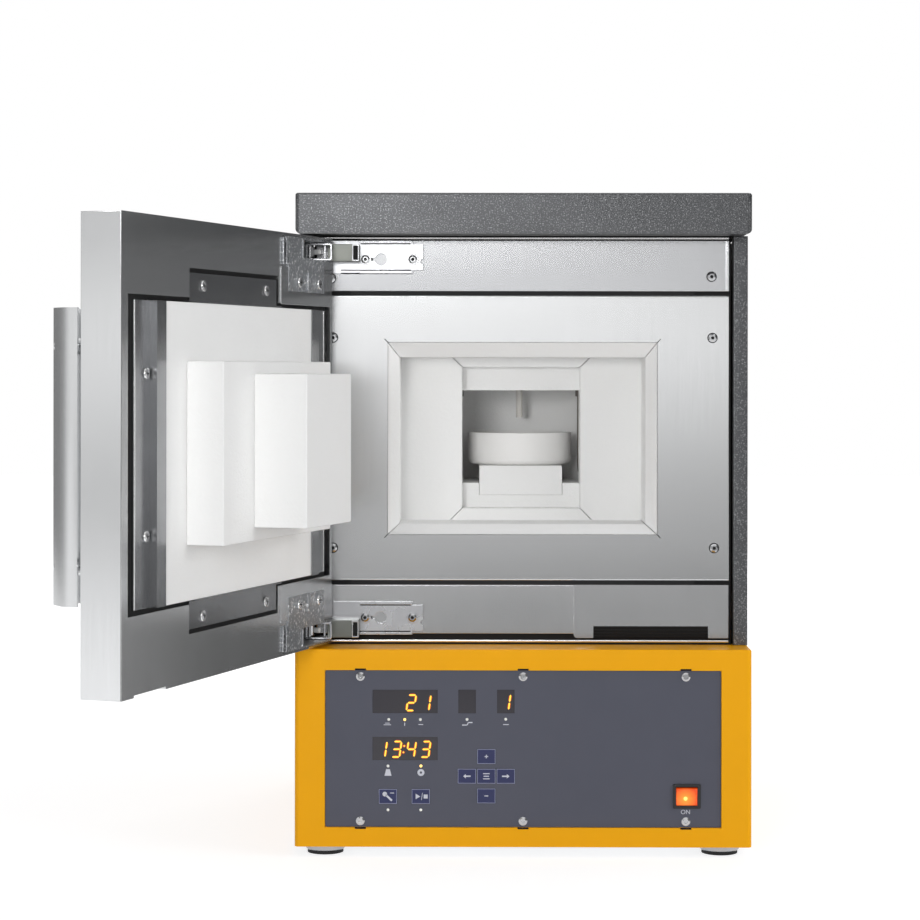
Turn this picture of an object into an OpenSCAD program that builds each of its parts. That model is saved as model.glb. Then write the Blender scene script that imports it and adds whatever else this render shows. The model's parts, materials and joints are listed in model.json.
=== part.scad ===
// Tabletop sintering furnace with its door swung open.
// Millimetres. The origin is on the table under the middle of the body,
// the front faces -Y and +Z is up. Depths named below run back from the
// front plane of the lid and the base.

/* [Body] */
// Width of the lid, casing, base and door
body_w = 390; // [380:5:420]
// Depth from the front plane to the rear panel
body_d = 420; // [400:5:460]
// Thickness of the painted and stainless sheets
sheet = 1.5; // [1.0:0.1:1.8]
// Corner radius of the folded housings, seen from above
housing_r = 4; // [2:0.5:6]
// Height of the casing between the base and the lid
casing_h = 354.5; // [350:0.5:362]
// How far the casing stands back behind the front plane
casing_back = 33.5; // [33.5:0.1:36]
// Width of the casing's folded front edge
edge_w = 12.6; // [10:0.2:14]

/* [Base] */
// Height of the base housing
base_h = 168.5; // [160:0.5:180]
// Left to right size of the control panel
panel_w = 337.5; // [330:0.5:350]
// Height of the control panel
panel_h = 133.4; // [130:0.2:140]
// Height of the control panel's centre above the base's underside
panel_mid = 83.6; // [78:0.2:88]
// Thickness of the control panel's plate
panel_t = 2; // [1.5:0.1:2.5]
// How far the control panel lies behind the base's front
panel_set = 1.5; // [1:0.1:2.5]
// Width of the ledge that carries the control panel
ledge_w = 10; // [8:0.5:12]

/* [Feet] */
// Height of the body above the table
foot_h = 9; // [8:0.5:14]
// Diameter of a foot's metal cup
foot_d = 34; // [28:1:40]
// Distance of a foot's centre from the body's side
foot_side = 25; // [22:1:40]
// Distance of a foot's centre from the body's front or rear
foot_front = 27; // [22:1:40]

/* [Lid] */
// Height of the lid
lid_h = 35; // [30:1:42]
// Radius at the lid's lower corners, seen from the front
lid_r = 5; // [3:0.5:8]

/* [Door] */
// Angle at which the door stands open
door_open = 109; // [90:1:109]
// Thickness of the door's folded pan
door_t = 32.5; // [32:0.1:32.5]
// Gap between the door and the lid, and between the door and the base
door_gap = 3.3; // [2.5:0.1:4]
// Distance of the hinge pins from the door's hinge edge
pin_inset = 11.5; // [11:0.1:12]
// Distance of the hinge pins from the door's inner face
pin_depth = 16.2; // [16:0.1:17]
// Height of the door's inner flange along its top and bottom
flange_h = 58.5; // [54:0.5:60]
// Width of the door's inner flange along its free edge
flange_free = 10.3; // [8:0.1:12]
// Width of the door's inner flange along its hinge edge
flange_hinge = 5.4; // [4:0.1:6]

/* [Door insulation] */
// Width of the fibre slab in the door
slab_w = 300; // [290:1:304]
// Height of the fibre slab in the door
slab_h = 222.8; // [215:0.2:224]
// How far the slab stands proud of the door's inner face
slab_proud = 5.2; // [4.5:0.1:5.4]
// Thickness of the slab
slab_t = 31; // [28:1:34]
// Width of the plug's wide step
step_w = 206.2; // [200:0.2:207]
// Height of the plug's wide step
step_h = 137; // [130:0.5:140]
// How far the wide step reaches past the door's inner face
step_reach = 35.6; // [30:0.2:38]
// Width of the plug's nose
nose_w = 89; // [80:0.5:91]
// Height of the plug's nose
nose_h = 117; // [110:0.5:120]
// How far the nose reaches past the door's inner face
nose_reach = 79.4; // [74:0.2:81]
// Shift of the nose towards the door's free edge
nose_shift = 1.8; // [0:0.1:2.2]
// Shift of the wide step towards the door's hinge edge
step_shift = 2.7; // [2.4:0.1:2.8]

/* [Handle] */
// Height of the handle bar
handle_h = 217.4; // [180:0.2:240]
// Width of the handle bar
handle_w = 30; // [26:0.5:34]
// How far the bar's outer face stands above its open side
handle_t = 25; // [20:0.2:28]
// Flat of the bar's sides before they slope in
handle_side = 12.5; // [10:0.1:14]
// Wall of the folded bar
handle_wall = 2; // [1.5:0.1:3]
// Finger gap between the door and the bar
handle_gap = 16; // [14:0.1:24]
// Distance of the bar from the door's free edge
handle_in = 25; // [20:0.5:30]
// Distance of each handle post from the bar's end
post_in = 28; // [18:1:40]

/* [Opening] */
// Height of the opening's centre above the table
mouth_z = 354.2; // [352:0.1:356]
// Width of the opening past its bevel
mouth_w = 214.6; // [214:0.2:220]
// Height of the opening past its bevel
mouth_h = 145.4; // [142:0.2:150]
// Width of the bevel at the opening's sides
bevel_side = 9.9; // [8:0.1:11]
// Width of the bevel at the opening's top
bevel_top = 13; // [10:0.1:14]
// Width of the bevel at the opening's bottom
bevel_low = 8.8; // [7:0.1:10]
// Depth from the casing's front sheets to the throat wall
mouth_d = 60.8; // [60:0.2:66]
// Width of the narrow throat
throat_w = 105.6; // [105:0.2:112]
// Height of the narrow throat
throat_h = 126.4; // [124:0.2:130]
// Thickness of the throat wall
throat_t = 20; // [16:1:24]
// Rise of the throat's centre over the opening's centre
throat_up = 1; // [0:0.1:2]
// Gap at the mitred joints between the boards
mitre_gap = 0.5; // [0.4:0.1:0.8]

/* [Chamber] */
// Diameter of the round chamber
chamber_d = 124; // [120:1:130]
// Height of the chamber's floor above the throat's sill
floor_up = 21.7; // [18:0.1:24]
// Drop of the chamber's roof below the throat's head
roof_down = 21; // [18:0.1:24]
// Diameter of the sintering bowl
bowl_d = 95; // [80:1:97]
// Height of the sintering bowl
bowl_h = 29; // [22:0.5:32]
// Wall of the sintering bowl
bowl_wall = 4; // [3:0.5:6]
// Width of the pedestal under the bowl
pedestal_w = 74.6; // [64:0.2:80]
// Height of the pedestal
pedestal_h = 26.3; // [22:0.1:30]
// How deep the pedestal stands in the floor block
pedestal_set = 10.7; // [8:0.1:14]
// Diameter of the thermocouple's ceramic tube
probe_d = 6; // [4:0.5:8]
// How far the thermocouple reaches into the chamber
probe_reach = 26; // [18:1:28]
// Diameter of a heating element's hot leg
element_d = 4; // [3:0.5:5]

/* [Hinges] */
// Diameter of a hinge pin
hinge_pin_d = 4; // [3:0.5:5]
// Height of a hinge arm
arm_h = 15; // [12:0.5:16]
// Height of the upper arm's centre above the table
arm_top_z = 517; // [514:0.5:518]
// Height of the lower arm's centre above the table
arm_low_z = 191.9; // [191.5:0.1:194]
// Sheet of the arms and cups
hinge_sheet = 1.2; // [1:0.1:1.5]
// Running clearance round a hinge pin
pin_play = 0.05; // [0.03:0.01:0.1]

/* [Controls] */
// Width of a key
key_w = 15.4; // [13:0.1:16]
// Height of a key
key_h = 12.4; // [10:0.1:13]
// Gap round a key
key_gap = 0.25; // [0.2:0.05:0.5]
// Distance between neighbouring keys from left to right
key_step_x = 16.6; // [16.5:0.1:18]
// Distance between neighbouring keys from top to bottom
key_step_z = 16.8; // [14:0.1:18]
// Width of the power switch's bezel
bezel_w = 23.7; // [21:0.1:26]
// Height of the power switch's bezel
bezel_h = 20.9; // [19:0.1:24]
// Tilt of the rocker to each side of its middle
rocker_tilt = 7; // [5:0.5:9]

/* [Hidden] */
$fn = 48;
eps = 0.01;

half_w = body_w / 2;
base_bottom = foot_h;
base_top = foot_h + base_h;
casing_top = base_top + casing_h;
lid_top = casing_top + lid_h;

// Colours, as the photograph shows them
orange = [0.96, 0.62, 0.09];
dark_grey = [0.27, 0.27, 0.28];
steel = [0.75, 0.75, 0.75];
zinc = [0.83, 0.84, 0.86];
fibre = [0.95, 0.95, 0.94];
black = [0.08, 0.08, 0.09];
foil_grey = [0.28, 0.29, 0.33];
copper = [0.75, 0.45, 0.25];

// Seams between the sheets of the casing's front
seam = 3.5;
front_y = casing_back + 5.7;
front_back_y = front_y + sheet;
frame_back_y = front_back_y + sheet;
flange_in_x = half_w - edge_w;
front_half = flange_in_x - 3;
rail_top = casing_top - door_gap - 0.5;
rail_low = rail_top - 44;
plate_top = rail_low - seam;
plate_low = sill_top() + seam;
function sill_top() = base_top + door_gap + 48.4;
sill_low = base_top + 9;

// Door, worked out closed: its inner face and its hinge pins
door_low = base_top + door_gap;
door_top = casing_top - door_gap;
door_mid = (door_low + door_top) / 2;
door_inner_y = door_t;
pin_x = -half_w + pin_inset;
pin_y = door_inner_y - pin_depth;
// The hinge side of the casing stands further back, clear of the door's turning corner
corner_sweep = pin_y + sqrt(pow(pin_inset, 2) + pow(pin_depth, 2));
hinge_side_back = corner_sweep + 0.8;

// Opening, throat and chamber
mouth_low = mouth_z - mouth_h / 2;
mouth_top = mouth_z + mouth_h / 2;
mouth_half = mouth_w / 2;
plate_hole_half = mouth_half + bevel_side;
plate_hole_top = mouth_top + bevel_top;
plate_hole_low = mouth_low - bevel_low;
throat_y = front_y + mouth_d;
throat_back_y = throat_y + throat_t;
throat_z = mouth_z + throat_up;
throat_half = throat_w / 2;
throat_low = throat_z - throat_h / 2;
throat_top = throat_z + throat_h / 2;
chamber_y = throat_back_y + bowl_d / 2 + 4.5;
chamber_low = throat_low + floor_up;
chamber_top = throat_top - roof_down;
pedestal_low = chamber_low - pedestal_set;
bowl_z = pedestal_low + pedestal_h;
pedestal_back_y = chamber_y + sqrt(pow(chamber_d / 2, 2) - pow(pedestal_w / 2, 2)) - 1;
box_half = front_half - 30.1;
box_low = mouth_low - 66;
box_top = mouth_top + 72;
box_back_y = chamber_y + chamber_d / 2 + 52;
box_sheet = 1.2;
board_fit = 0.3;
board_half = box_half - box_sheet - board_fit;
board_low = box_low + box_sheet + board_fit;
board_top = box_top - box_sheet - board_fit;
board_back_y = box_back_y - box_sheet - board_fit;
probe_y = chamber_y + 26;
element_x = chamber_d / 2 - 6.5;
element_half = 14;
element_low = chamber_low + 9;
shank_d = element_d * 1.8;

// Control panel
panel_z = base_bottom + panel_mid;
panel_back_y = panel_set + panel_t;
panel_screw_x = panel_w / 2 - 29.95;
panel_screw_z = panel_h / 2 - 5.1;
key_front_y = panel_set - 0.2;
key_t = 1.5;
key_pad_x = -31.3;
key_pad_z = 69.2;
key_low_z = 51.8;
key_setup_x = -115.3;
key_start_x = -87.2;
rocker_x = panel_w / 2 - 29.15;
rocker_z = 52.5;
rocker_w = 17.8;
rocker_h = 15.4;
rocker_gap = 0.35;
rocker_y = panel_set + 2;
board_y = 22;
// Display windows: left edge, right edge, lower edge and upper edge
windows = [[-128.5, -72.8, 122.8, 142.8], [-128.5, -72.8, 82.7, 102.6],
    [-55.3, -40.2, 122.8, 143], [-22.2, -7.2, 122.8, 143]];
// Indicator lamps: left to right place and height
lamps = [[-114.6, 117.4], [-101, 117.4], [-87.6, 117.4], [-47.8, 117.5], [-14.8, 117.8],
    [-115.2, 77.7], [-87.1, 77.8], [-115.2, 40.3], [-87.2, 40.3]];
lamp_d = 2.4;

// Hinges: each has its arm's height and the way that its cup's wing points
hinge_zs = [arm_top_z, arm_low_z];
hinge_ways = [-1, 1];
plate_t = 2.5;
plate_left = pin_x + 18.5;
plate_right = pin_x + 97.2;
plate_half_h = 14.3;
hinge_plate_zs = [arm_top_z - 3.3, arm_low_z + 8.3];
hinge_screw_xs = [pin_x + 46.9, pin_x + 88];
hinge_screw_drop = [-2, 0.6];
arm_face_y = 25;
arm_left = pin_x + 15;
arm_right = pin_x + 42;
eye_r = 5;
cup_left = pin_x - 9.7;
cup_right = pin_x + 90.5;
cup_floor_y = pin_y - eye_r - 2.4;
cup_play = 0.5;
cup_half = arm_h / 2 + cup_play + hinge_sheet;
cut_left = body_w - 104.4;
wing_s0 = body_w - 96;
wing_s1 = body_w - 21;
wing_h = 14.5;
wing_gap = 12.5;

// Screws
screw_head_d = 7.4;
screw_head_h = 2;
screw_shank_d = 3.6;

// Magnet that holds the door, behind its own cover
cover_right = front_half - 1.1;
cover_left = cover_right - 133.8;
cover_y = door_inner_y + 2.3;
cover_low = sill_low - 3;
cover_top = sill_top() + 0.3;
magnet_left = cover_left + 17.2;
magnet_right = cover_right - 17.7;
magnet_top = cover_low + 10;

// Fan on the rear panel
fan_size = 92;
fan_t = 25;
fan_z = base_top + 178;
fan_y = body_d - 2 * sheet - 0.2 - fan_t;
fan_bore = 88;
hub_d = 34;

// Depth behind the front plane as a Y coordinate
function at(depth) = depth - body_d / 2;

// Place across the closed door, from its free edge, as an X coordinate
function across(s) = half_w - s;

// A block between two corners, its depths behind the front plane
module block(x0, x1, d0, d1, z0, z1) {
    translate([x0, at(d0), z0]) cube([x1 - x0, d1 - d0, z1 - z0]);
}

// An outline drawn as seen from the front, its back at a depth, raised towards the viewer
module facing(x, depth, z, t) {
    translate([x, at(depth), z]) rotate([90, 0, 0]) linear_extrude(t) children();
}

module round_rect(w, h, r) {
    square([w - 2 * r, h], center = true);
    square([w, h - 2 * r], center = true);
    for (sx = [-1, 1], sy = [-1, 1])
        translate([sx * (w / 2 - r), sy * (h / 2 - r)]) circle(r, $fn = 32);
}

// A pan-head screw at a depth, its head towards the viewer and its shank behind
module screw(x, depth, z, shank = 8, head_d = screw_head_d) {
    translate([x, at(depth), z]) rotate([90, 0, 0]) {
        difference() {
            union() {
                cylinder(h = screw_head_h * 0.5, d = head_d, $fn = 32);
                translate([0, 0, screw_head_h * 0.5])
                    cylinder(h = screw_head_h * 0.5, d1 = head_d, d2 = head_d * 0.62, $fn = 32);
            }
            translate([0, 0, screw_head_h * 0.35]) cylinder(h = screw_head_h, d = head_d * 0.42, $fn = 6);
        }
        translate([0, 0, -shank]) cylinder(h = shank, d = screw_shank_d, $fn = 24);
    }
}

// A hole for such a screw through a sheet that starts at a depth
module screw_hole(x, depth, z, t = sheet) {
    translate([x, at(depth) - eps, z]) rotate([-90, 0, 0])
        cylinder(h = t + 2 * eps, d = screw_shank_d + 0.2, $fn = 24);
}

// The door and all that turns with it are drawn closed and swung open here
module on_door() {
    translate([pin_x, at(pin_y), 0]) rotate([0, 0, -door_open])
        translate([-pin_x, -at(pin_y), 0]) children();
}

// Screws on the door's inside face away from the door's front
module door_screw(s, q, z, shank = 2.8) {
    translate([across(s), at(door_inner_y + q), z]) rotate([0, 0, 180]) translate([0, -at(0), 0])
        screw(0, 0, 0, shank = shank);
}

module door_screw_hole(s, z) {
    screw_hole(across(s), door_inner_y - 3 * sheet, z, t = 3 * sheet);
}

// Base
module base_shape(inset, low, high) {
    translate([0, 0, low]) linear_extrude(high - low)
        round_rect(body_w - 2 * inset, body_d - 2 * inset, housing_r - inset * 0.6);
}

// Notches in the window's edge above and below each panel screw
notch_w = 9.6;
notch_deep = 3.6;
panel_fit = 0.6;
module panel_window() {
    square([panel_w + panel_fit, panel_h + panel_fit], center = true);
    for (x = [-panel_screw_x, 0, panel_screw_x])
        translate([x, 0]) square([notch_w, panel_h + notch_deep], center = true);
}

module base_housing() {
    color(orange) difference() {
        union() {
            difference() {
                base_shape(0, base_bottom, base_top);
                base_shape(sheet, base_bottom - eps, base_top - sheet);
                facing(0, sheet + 1, panel_z, sheet + 2) panel_window();
                rear_openings();
            }
            // Ledge behind the window that carries the control panel
            difference() {
                facing(0, panel_back_y + sheet, panel_z, panel_back_y + sheet / 2)
                    square([panel_w + 2 * sheet + panel_fit, panel_h + 2 * sheet + notch_deep],
                        center = true);
                facing(0, panel_back_y, panel_z, panel_back_y + eps)
                    square([panel_w + panel_fit, panel_h + notch_deep], center = true);
                facing(0, panel_back_y + sheet + eps, panel_z, sheet + 1)
                    square([panel_w - 2 * ledge_w, panel_h - 2 * ledge_w], center = true);
            }
        }
        for (x = [-panel_screw_x, 0, panel_screw_x], s = [-1, 1])
            screw_hole(x, panel_back_y, panel_z + s * panel_screw_z);
    }
}

inlet_x = half_w - 75;
inlet_z = base_bottom + 46;
inlet_half_w = 24;
inlet_half_h = 14;
louvre_step = 14;
louvre_w = 7;
louvre_h = 50;
louvre_up = 60;
module rear_openings() {
    block(inlet_x - inlet_half_w - 0.5, inlet_x + inlet_half_w + 0.5, body_d - 2 * sheet, body_d + 1,
        inlet_z - inlet_half_h - 0.5, inlet_z + inlet_half_h + 0.5);
    for (i = [0 : 9]) {
        left = -half_w + 45 + i * louvre_step;
        block(left, left + louvre_w, body_d - 2 * sheet, body_d + 1,
            base_bottom + louvre_up, base_bottom + louvre_up + louvre_h);
    }
}

module base_floor() {
    color(zinc) difference() {
        base_shape(sheet + 0.3, base_bottom, base_bottom + sheet);
        each_foot() cylinder(h = base_bottom + 10, d = foot_bolt_d + 0.2);
        // Intake slots under the electronics
        for (i = [0 : 7]) translate([-60 + i * 15, 20, base_bottom - 1]) cube([6, 70, 4]);
    }
}

foot_bolt_d = 6;
module each_foot() {
    for (x = [-1, 1], y = [-1, 1])
        translate([x * (half_w - foot_side), y * (body_d / 2 - foot_front), 0]) children();
}

pad_h = 2.6;
module foot_cups() {
    color(steel) each_foot() {
        difference() {
            rotate_extrude() polygon([[0, pad_h], [foot_d / 2 - 1.2, pad_h], [foot_d / 2, pad_h + 1],
                [foot_d / 2, foot_h - 0.8], [foot_d / 2 - 0.8, foot_h], [0, foot_h]]);
            translate([0, 0, pad_h - eps]) cylinder(h = 2, d = foot_d - 8);
        }
        cylinder_at(foot_h - 2, foot_bolt_d, 12);
    }
}

module cylinder_at(z, d, h) {
    translate([0, 0, z]) cylinder(h = h, d = d);
}

module foot_pads() {
    color(black) each_foot() {
        cylinder(h = pad_h, d = foot_d - 3);
        cylinder(h = pad_h + 1.8, d = foot_d - 8.4);
    }
}

// Control panel
key_places = [[key_pad_x, key_pad_z], [key_pad_x - key_step_x, key_pad_z],
    [key_pad_x + key_step_x, key_pad_z], [key_pad_x, key_pad_z + key_step_z],
    [key_pad_x, key_pad_z - key_step_z], [key_setup_x, key_low_z], [key_start_x, key_low_z]];

module control_panel() {
    color(foil_grey) difference() {
        facing(0, panel_back_y, panel_z, panel_t) round_rect(panel_w, panel_h, 1.5);
        for (w = windows) facing(0, panel_back_y + 1, panel_z, panel_t + 2) offset_window(w);
        for (p = key_places) facing(p[0], panel_back_y + 1, p[1], panel_t + 2)
            square([key_w + 2 * key_gap, key_h + 2 * key_gap], center = true);
        for (l = lamps)
            facing(l[0], panel_back_y + 1, l[1], panel_t + 2) circle(d = lamp_d + 0.1, $fn = 24);
        facing(rocker_x, panel_back_y + 1, rocker_z, panel_t + 2)
            square([bezel_w - 2.4, bezel_h - 2.4], center = true);
        for (x = [-panel_screw_x, 0, panel_screw_x], s = [-1, 1])
            screw_hole(x, panel_set, panel_z + s * panel_screw_z, t = panel_t);
    }
}

module offset_window(w, play = 0) {
    translate([(w[0] + w[1]) / 2, (w[2] + w[3]) / 2 - panel_z])
        square([w[1] - w[0] - play, w[3] - w[2] - play], center = true);
}

module panel_screws() {
    color(steel) for (x = [-panel_screw_x, 0, panel_screw_x], s = [-1, 1])
        screw(x, panel_set, panel_z + s * panel_screw_z, shank = panel_t + sheet + 3);
}

// Each display is a lens in its window on a module that stands on the board
module display_lenses() {
    rim = 0.8;
    color([0.16, 0.05, 0.03]) for (w = windows) {
        facing(0, panel_back_y, panel_z, panel_t - 0.2) offset_window(w, play = 0.1);
        block(w[0] - rim, w[1] + rim, panel_back_y, board_y, w[2] - rim, w[3] + rim);
    }
}

module indicator_leds() {
    color([0.9, 0.75, 0.45]) for (l = lamps)
        facing(l[0], board_y, l[1], board_y - panel_set - 0.1) circle(d = lamp_d, $fn = 24);
}

board_t = 1.6;
board_left = -panel_w / 2 + 18.75;
board_right = panel_w / 2 - 58.75;
board_half_h = panel_h / 2 - 14.7;
module control_board() {
    back = board_y + board_t;
    color([0.1, 0.35, 0.2]) {
        block(board_left, board_right, board_y, back, panel_z - board_half_h, panel_z + board_half_h);
        // Standoffs reach from the board to the panel's back
        for (x = [board_left + 5, board_right - 5], z = [-board_half_h + 6, board_half_h - 6])
            facing(x, board_y, panel_z + z, board_y - panel_back_y) circle(d = 6, $fn = 24);
        // Switches under the keys, clear of the keys' travel
        for (p = key_places)
            block(p[0] - 4, p[0] + 4, key_front_y + key_t + 0.7, board_y, p[1] - 3, p[1] + 3);
        // A relay and a small transformer on the board's back
        block(board_right - 70, board_right - 15, back, back + 14, panel_z - 30, panel_z + 10);
        block(board_left + 90, board_left + 130, back, back + 10, panel_z - 40, panel_z + 30);
    }
}

module key(p) {
    color([0.14, 0.17, 0.33])
        facing(p[0], key_front_y + key_t, p[1], key_t) round_rect(key_w, key_h, 0.8);
}

module key_program() { key(key_places[0]); }
module key_left() { key(key_places[1]); }
module key_right() { key(key_places[2]); }
module key_plus() { key(key_places[3]); }
module key_minus() { key(key_places[4]); }
module key_setup() { key(key_places[5]); }
module key_start_stop() { key(key_places[6]); }

module switch_bezel() {
    rim_t = 1.6;
    back = panel_set + 22;
    color(black) difference() {
        union() {
            facing(rocker_x, panel_set, rocker_z, rim_t) round_rect(bezel_w, bezel_h, 1.2);
            facing(rocker_x, back, rocker_z, back - panel_set)
                square([bezel_w - 2.6, bezel_h - 2.6], center = true);
        }
        facing(rocker_x, panel_set + 12, rocker_z, 20)
            square([rocker_w + 2 * rocker_gap, rocker_h + 2 * rocker_gap + 0.4], center = true);
    }
    // Terminals at the back
    color(copper) for (x = [rocker_x - 5, rocker_x + 5])
        block(x - 0.4, x + 0.4, back, back + 7, rocker_z - 2.5, rocker_z + 2.5);
}

// The rocker's side view is a shallow V over a belly, turned to its "on" side
module power_rocker() {
    half = rocker_h / 2;
    dip = 3.1;
    rise = 4.1;
    belly = 4;
    color([0.95, 0.35, 0.08]) translate([rocker_x - rocker_w / 2, at(rocker_y), rocker_z])
        rotate([rocker_tilt, 0, 0]) rotate([90, 0, 90]) linear_extrude(rocker_w) polygon([
            [-dip, 0], [-rise, half - 0.5], [0, half - 0.6], [belly, belly], [belly, -belly],
            [0, -half + 0.6], [-rise, -half + 0.5]]);
}

// Electronics in the base
core_x = half_w - 115;
core_y = body_d / 2 + 21;
core_half_w = 55;
core_half_d = 31;
core_h = 96;
limb = 20;
module transformer() {
    low = base_bottom + sheet;
    window_x = core_half_w / 2;
    window_half = 9.5;
    winding = 18;
    play = 0.2;
    color([0.3, 0.3, 0.32]) difference() {
        block(core_x - core_half_w, core_x + core_half_w, core_y - core_half_d, core_y + core_half_d,
            low, low + core_h);
        for (x = [core_x - window_x, core_x + window_x])
            block(x - window_half, x + window_half, core_y - core_half_d - 1, core_y + core_half_d + 1,
                low + limb, low + core_h - limb);
    }
    // Winding round the middle limb
    inner = window_x - window_half + play;
    outer = window_x + window_half - play;
    color(copper) difference() {
        block(core_x - outer, core_x + outer, core_y - core_half_d - winding, core_y + core_half_d + winding,
            low + limb + play, low + core_h - limb - play);
        block(core_x - inner, core_x + inner, core_y - core_half_d - play, core_y + core_half_d + play,
            base_bottom, low + core_h);
    }
}

sink_x = -half_w + 45;
sink_y = body_d - 120;
sink_w = 90;
sink_h = 90;
sink_plate = 6;
fin_h = 34;
fin_t = 2.5;
fin_step = 10.6;
module power_controller() {
    low = base_bottom + sheet;
    color(zinc) {
        block(sink_x, sink_x + sink_w, sink_y, sink_y + sink_plate, low, base_bottom + sink_h);
        for (i = [0 : 8]) {
            left = sink_x + 2 + i * fin_step;
            block(left, left + fin_t, sink_y + sink_plate - eps, sink_y + fin_h + sink_plate,
                low, base_bottom + sink_h);
        }
    }
    // Solid-state relay on the plate's front
    color(black) block(sink_x + 15, sink_x + 75, sink_y - 28, sink_y, base_bottom + 30, base_bottom + 74);
}

module mains_inlet() {
    socket_deep = 16;
    color(black) difference() {
        union() {
            block(inlet_x - inlet_half_w, inlet_x + inlet_half_w, body_d - 28, body_d,
                inlet_z - inlet_half_h, inlet_z + inlet_half_h);
            block(inlet_x - inlet_half_w - 5, inlet_x + inlet_half_w + 5, body_d, body_d + 2.5,
                inlet_z - inlet_half_h - 3, inlet_z + inlet_half_h + 3);
        }
        // Socket for the mains lead, and the fuse drawer beside it
        block(inlet_x - 20, inlet_x + 4.5, body_d - socket_deep, body_d + 3, inlet_z - 8.5, inlet_z + 8.5);
        block(inlet_x + 8, inlet_x + 21, body_d + 1, body_d + 3, inlet_z - 11, inlet_z + 11);
    }
    color(steel) for (p = [[-13.5, 1], [-2.5, 1], [-8, -3]]) {
        x = inlet_x + p[0];
        z = inlet_z + p[1];
        block(x - 1, x + 1, body_d - socket_deep, body_d - 1, z - 2, z + 2);
    }
}

// Casing
module side_plan(back) {
    polygon([[half_w, at(body_d)], [half_w, at(back)], [flange_in_x, at(back)], [flange_in_x, at(back + 14)],
        [flange_in_x + sheet, at(back + 14)], [flange_in_x + sheet, at(back + sheet)],
        [half_w - sheet, at(back + sheet)], [half_w - sheet, at(body_d - sheet)],
        [flange_in_x, at(body_d - sheet)], [flange_in_x, at(body_d)]]);
}

module left_side_panel() {
    color(dark_grey) difference() {
        mirror([1, 0, 0]) translate([0, 0, base_top]) linear_extrude(casing_h) side_plan(hinge_side_back);
        side_vents(-1);
        rear_screw_holes();
    }
}

module right_side_panel() {
    color(dark_grey) difference() {
        translate([0, 0, base_top]) linear_extrude(casing_h) side_plan(casing_back);
        side_vents(1);
        rear_screw_holes();
    }
}

// Cooling slots near the bottom and the top of each side
module side_vents(side) {
    for (i = [0 : 11], z = [base_top + 22, casing_top - 50])
        translate([side * (half_w - sheet / 2), at(body_d - 170 + i * 12), z + 14])
            cube([sheet * 3, 4, 28], center = true);
}

rear_screw_x = half_w - 7;
rear_screw_zs = [base_top + 12, base_top + casing_h / 2, casing_top - 12];
module rear_screw_holes() {
    for (x = [-rear_screw_x, rear_screw_x], z = rear_screw_zs)
        screw_hole(x, body_d - 2 * sheet - 0.4, z, t = 2 * sheet + 1);
}

outlet_count = 12;
outlet_step = 16;
outlet_h = 36;
outlet_drop = 26;
module rear_panel() {
    rear_y = body_d - 2 * sheet;
    color(zinc) difference() {
        block(-half_w + sheet + 0.5, half_w - sheet - 0.5, rear_y, rear_y + sheet,
            base_top + 0.5, casing_top - 0.5);
        rear_screw_holes();
        // Air outlet in front of the fan: rings of slots between four spokes
        translate([0, at(rear_y - 1), fan_z]) rotate([-90, 0, 0]) difference() {
            for (r = [18 : 8 : 42]) difference() {
                cylinder(h = 4, r = r + 2.5);
                translate([0, 0, -1]) cylinder(h = 6, r = r - 2.5);
            }
            for (a = [45, 135]) rotate([0, 0, a]) translate([-50, -3, -2]) cube([100, 6, 8]);
        }
        // Outlet slots above the chamber
        for (i = [0 : outlet_count - 1]) {
            left = (i - outlet_count / 2) * outlet_step;
            block(left, left + outlet_step / 2, rear_y - 1, rear_y + 3,
                casing_top - outlet_drop - outlet_h, casing_top - outlet_drop);
        }
        for (x = [-fan_hole, fan_hole], z = [fan_z - fan_hole, fan_z + fan_hole])
            screw_hole(x, rear_y - 0.2, z, t = sheet + 0.4);
    }
}

fan_hole = 41;
lid_screw_in = 100;
lid_screw_up = 12;
module cover_screws() {
    color(black) {
        // The rear panel's screws come in from the back
        for (x = [-rear_screw_x, rear_screw_x], z = rear_screw_zs) back_screw(x, body_d, z);
        for (x = [-fan_hole, fan_hole], z = [fan_z - fan_hole, fan_z + fan_hole])
            back_screw(x, body_d - sheet, z);
        // The lid is screwed to the casing's sides
        for (s = [-1, 1], d = [lid_screw_in, body_d - lid_screw_in])
            translate([s * half_w, at(d), casing_top + lid_screw_up]) rotate([0, s * 90, 0])
                cylinder(h = screw_head_h, d1 = screw_head_d, d2 = screw_head_d * 0.7, $fn = 32);
    }
}

module back_screw(x, depth, z) {
    translate([x, at(depth), z]) rotate([0, 0, 180]) translate([0, -at(0), 0])
        screw(0, 0, 0, shank = 5);
}

// Front view of the lid, with tight upper and wide lower corners
module lid_front(inset) {
    difference() {
        translate([-half_w + inset, 0]) square([body_w - 2 * inset, lid_h]);
        for (s = [-1, 1]) {
            corner_cut(s * (half_w - inset), 0, -s, 1, lid_r);
            corner_cut(s * (half_w - inset), lid_h, -s, -1, 2);
        }
    }
}

module corner_cut(x, y, sx, sy, r) {
    translate([x, y]) scale_xy(sx, sy) difference() {
        translate([-eps, -eps]) square([r + eps, r + eps]);
        translate([r, r]) circle(r, $fn = 32);
    }
}

module scale_xy(sx, sy) {
    mirror([sx < 0 ? 1 : 0, 0]) mirror([0, sy < 0 ? 1 : 0]) children();
}

module lid() {
    color(dark_grey) difference() {
        intersection() {
            translate([0, 0, casing_top]) linear_extrude(lid_h) round_rect(body_w, body_d, housing_r);
            facing(0, body_d, casing_top, body_d) lid_front(0);
        }
        // Hollow, with a lip turned in all round its underside
        block(-half_w + sheet, half_w - sheet, sheet, body_d - sheet, casing_top + sheet, lid_top - sheet);
        block(-half_w + 14, half_w - 14, casing_back + 9, body_d - 14,
            casing_top - 1, casing_top + 2 * sheet);
    }
}

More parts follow.
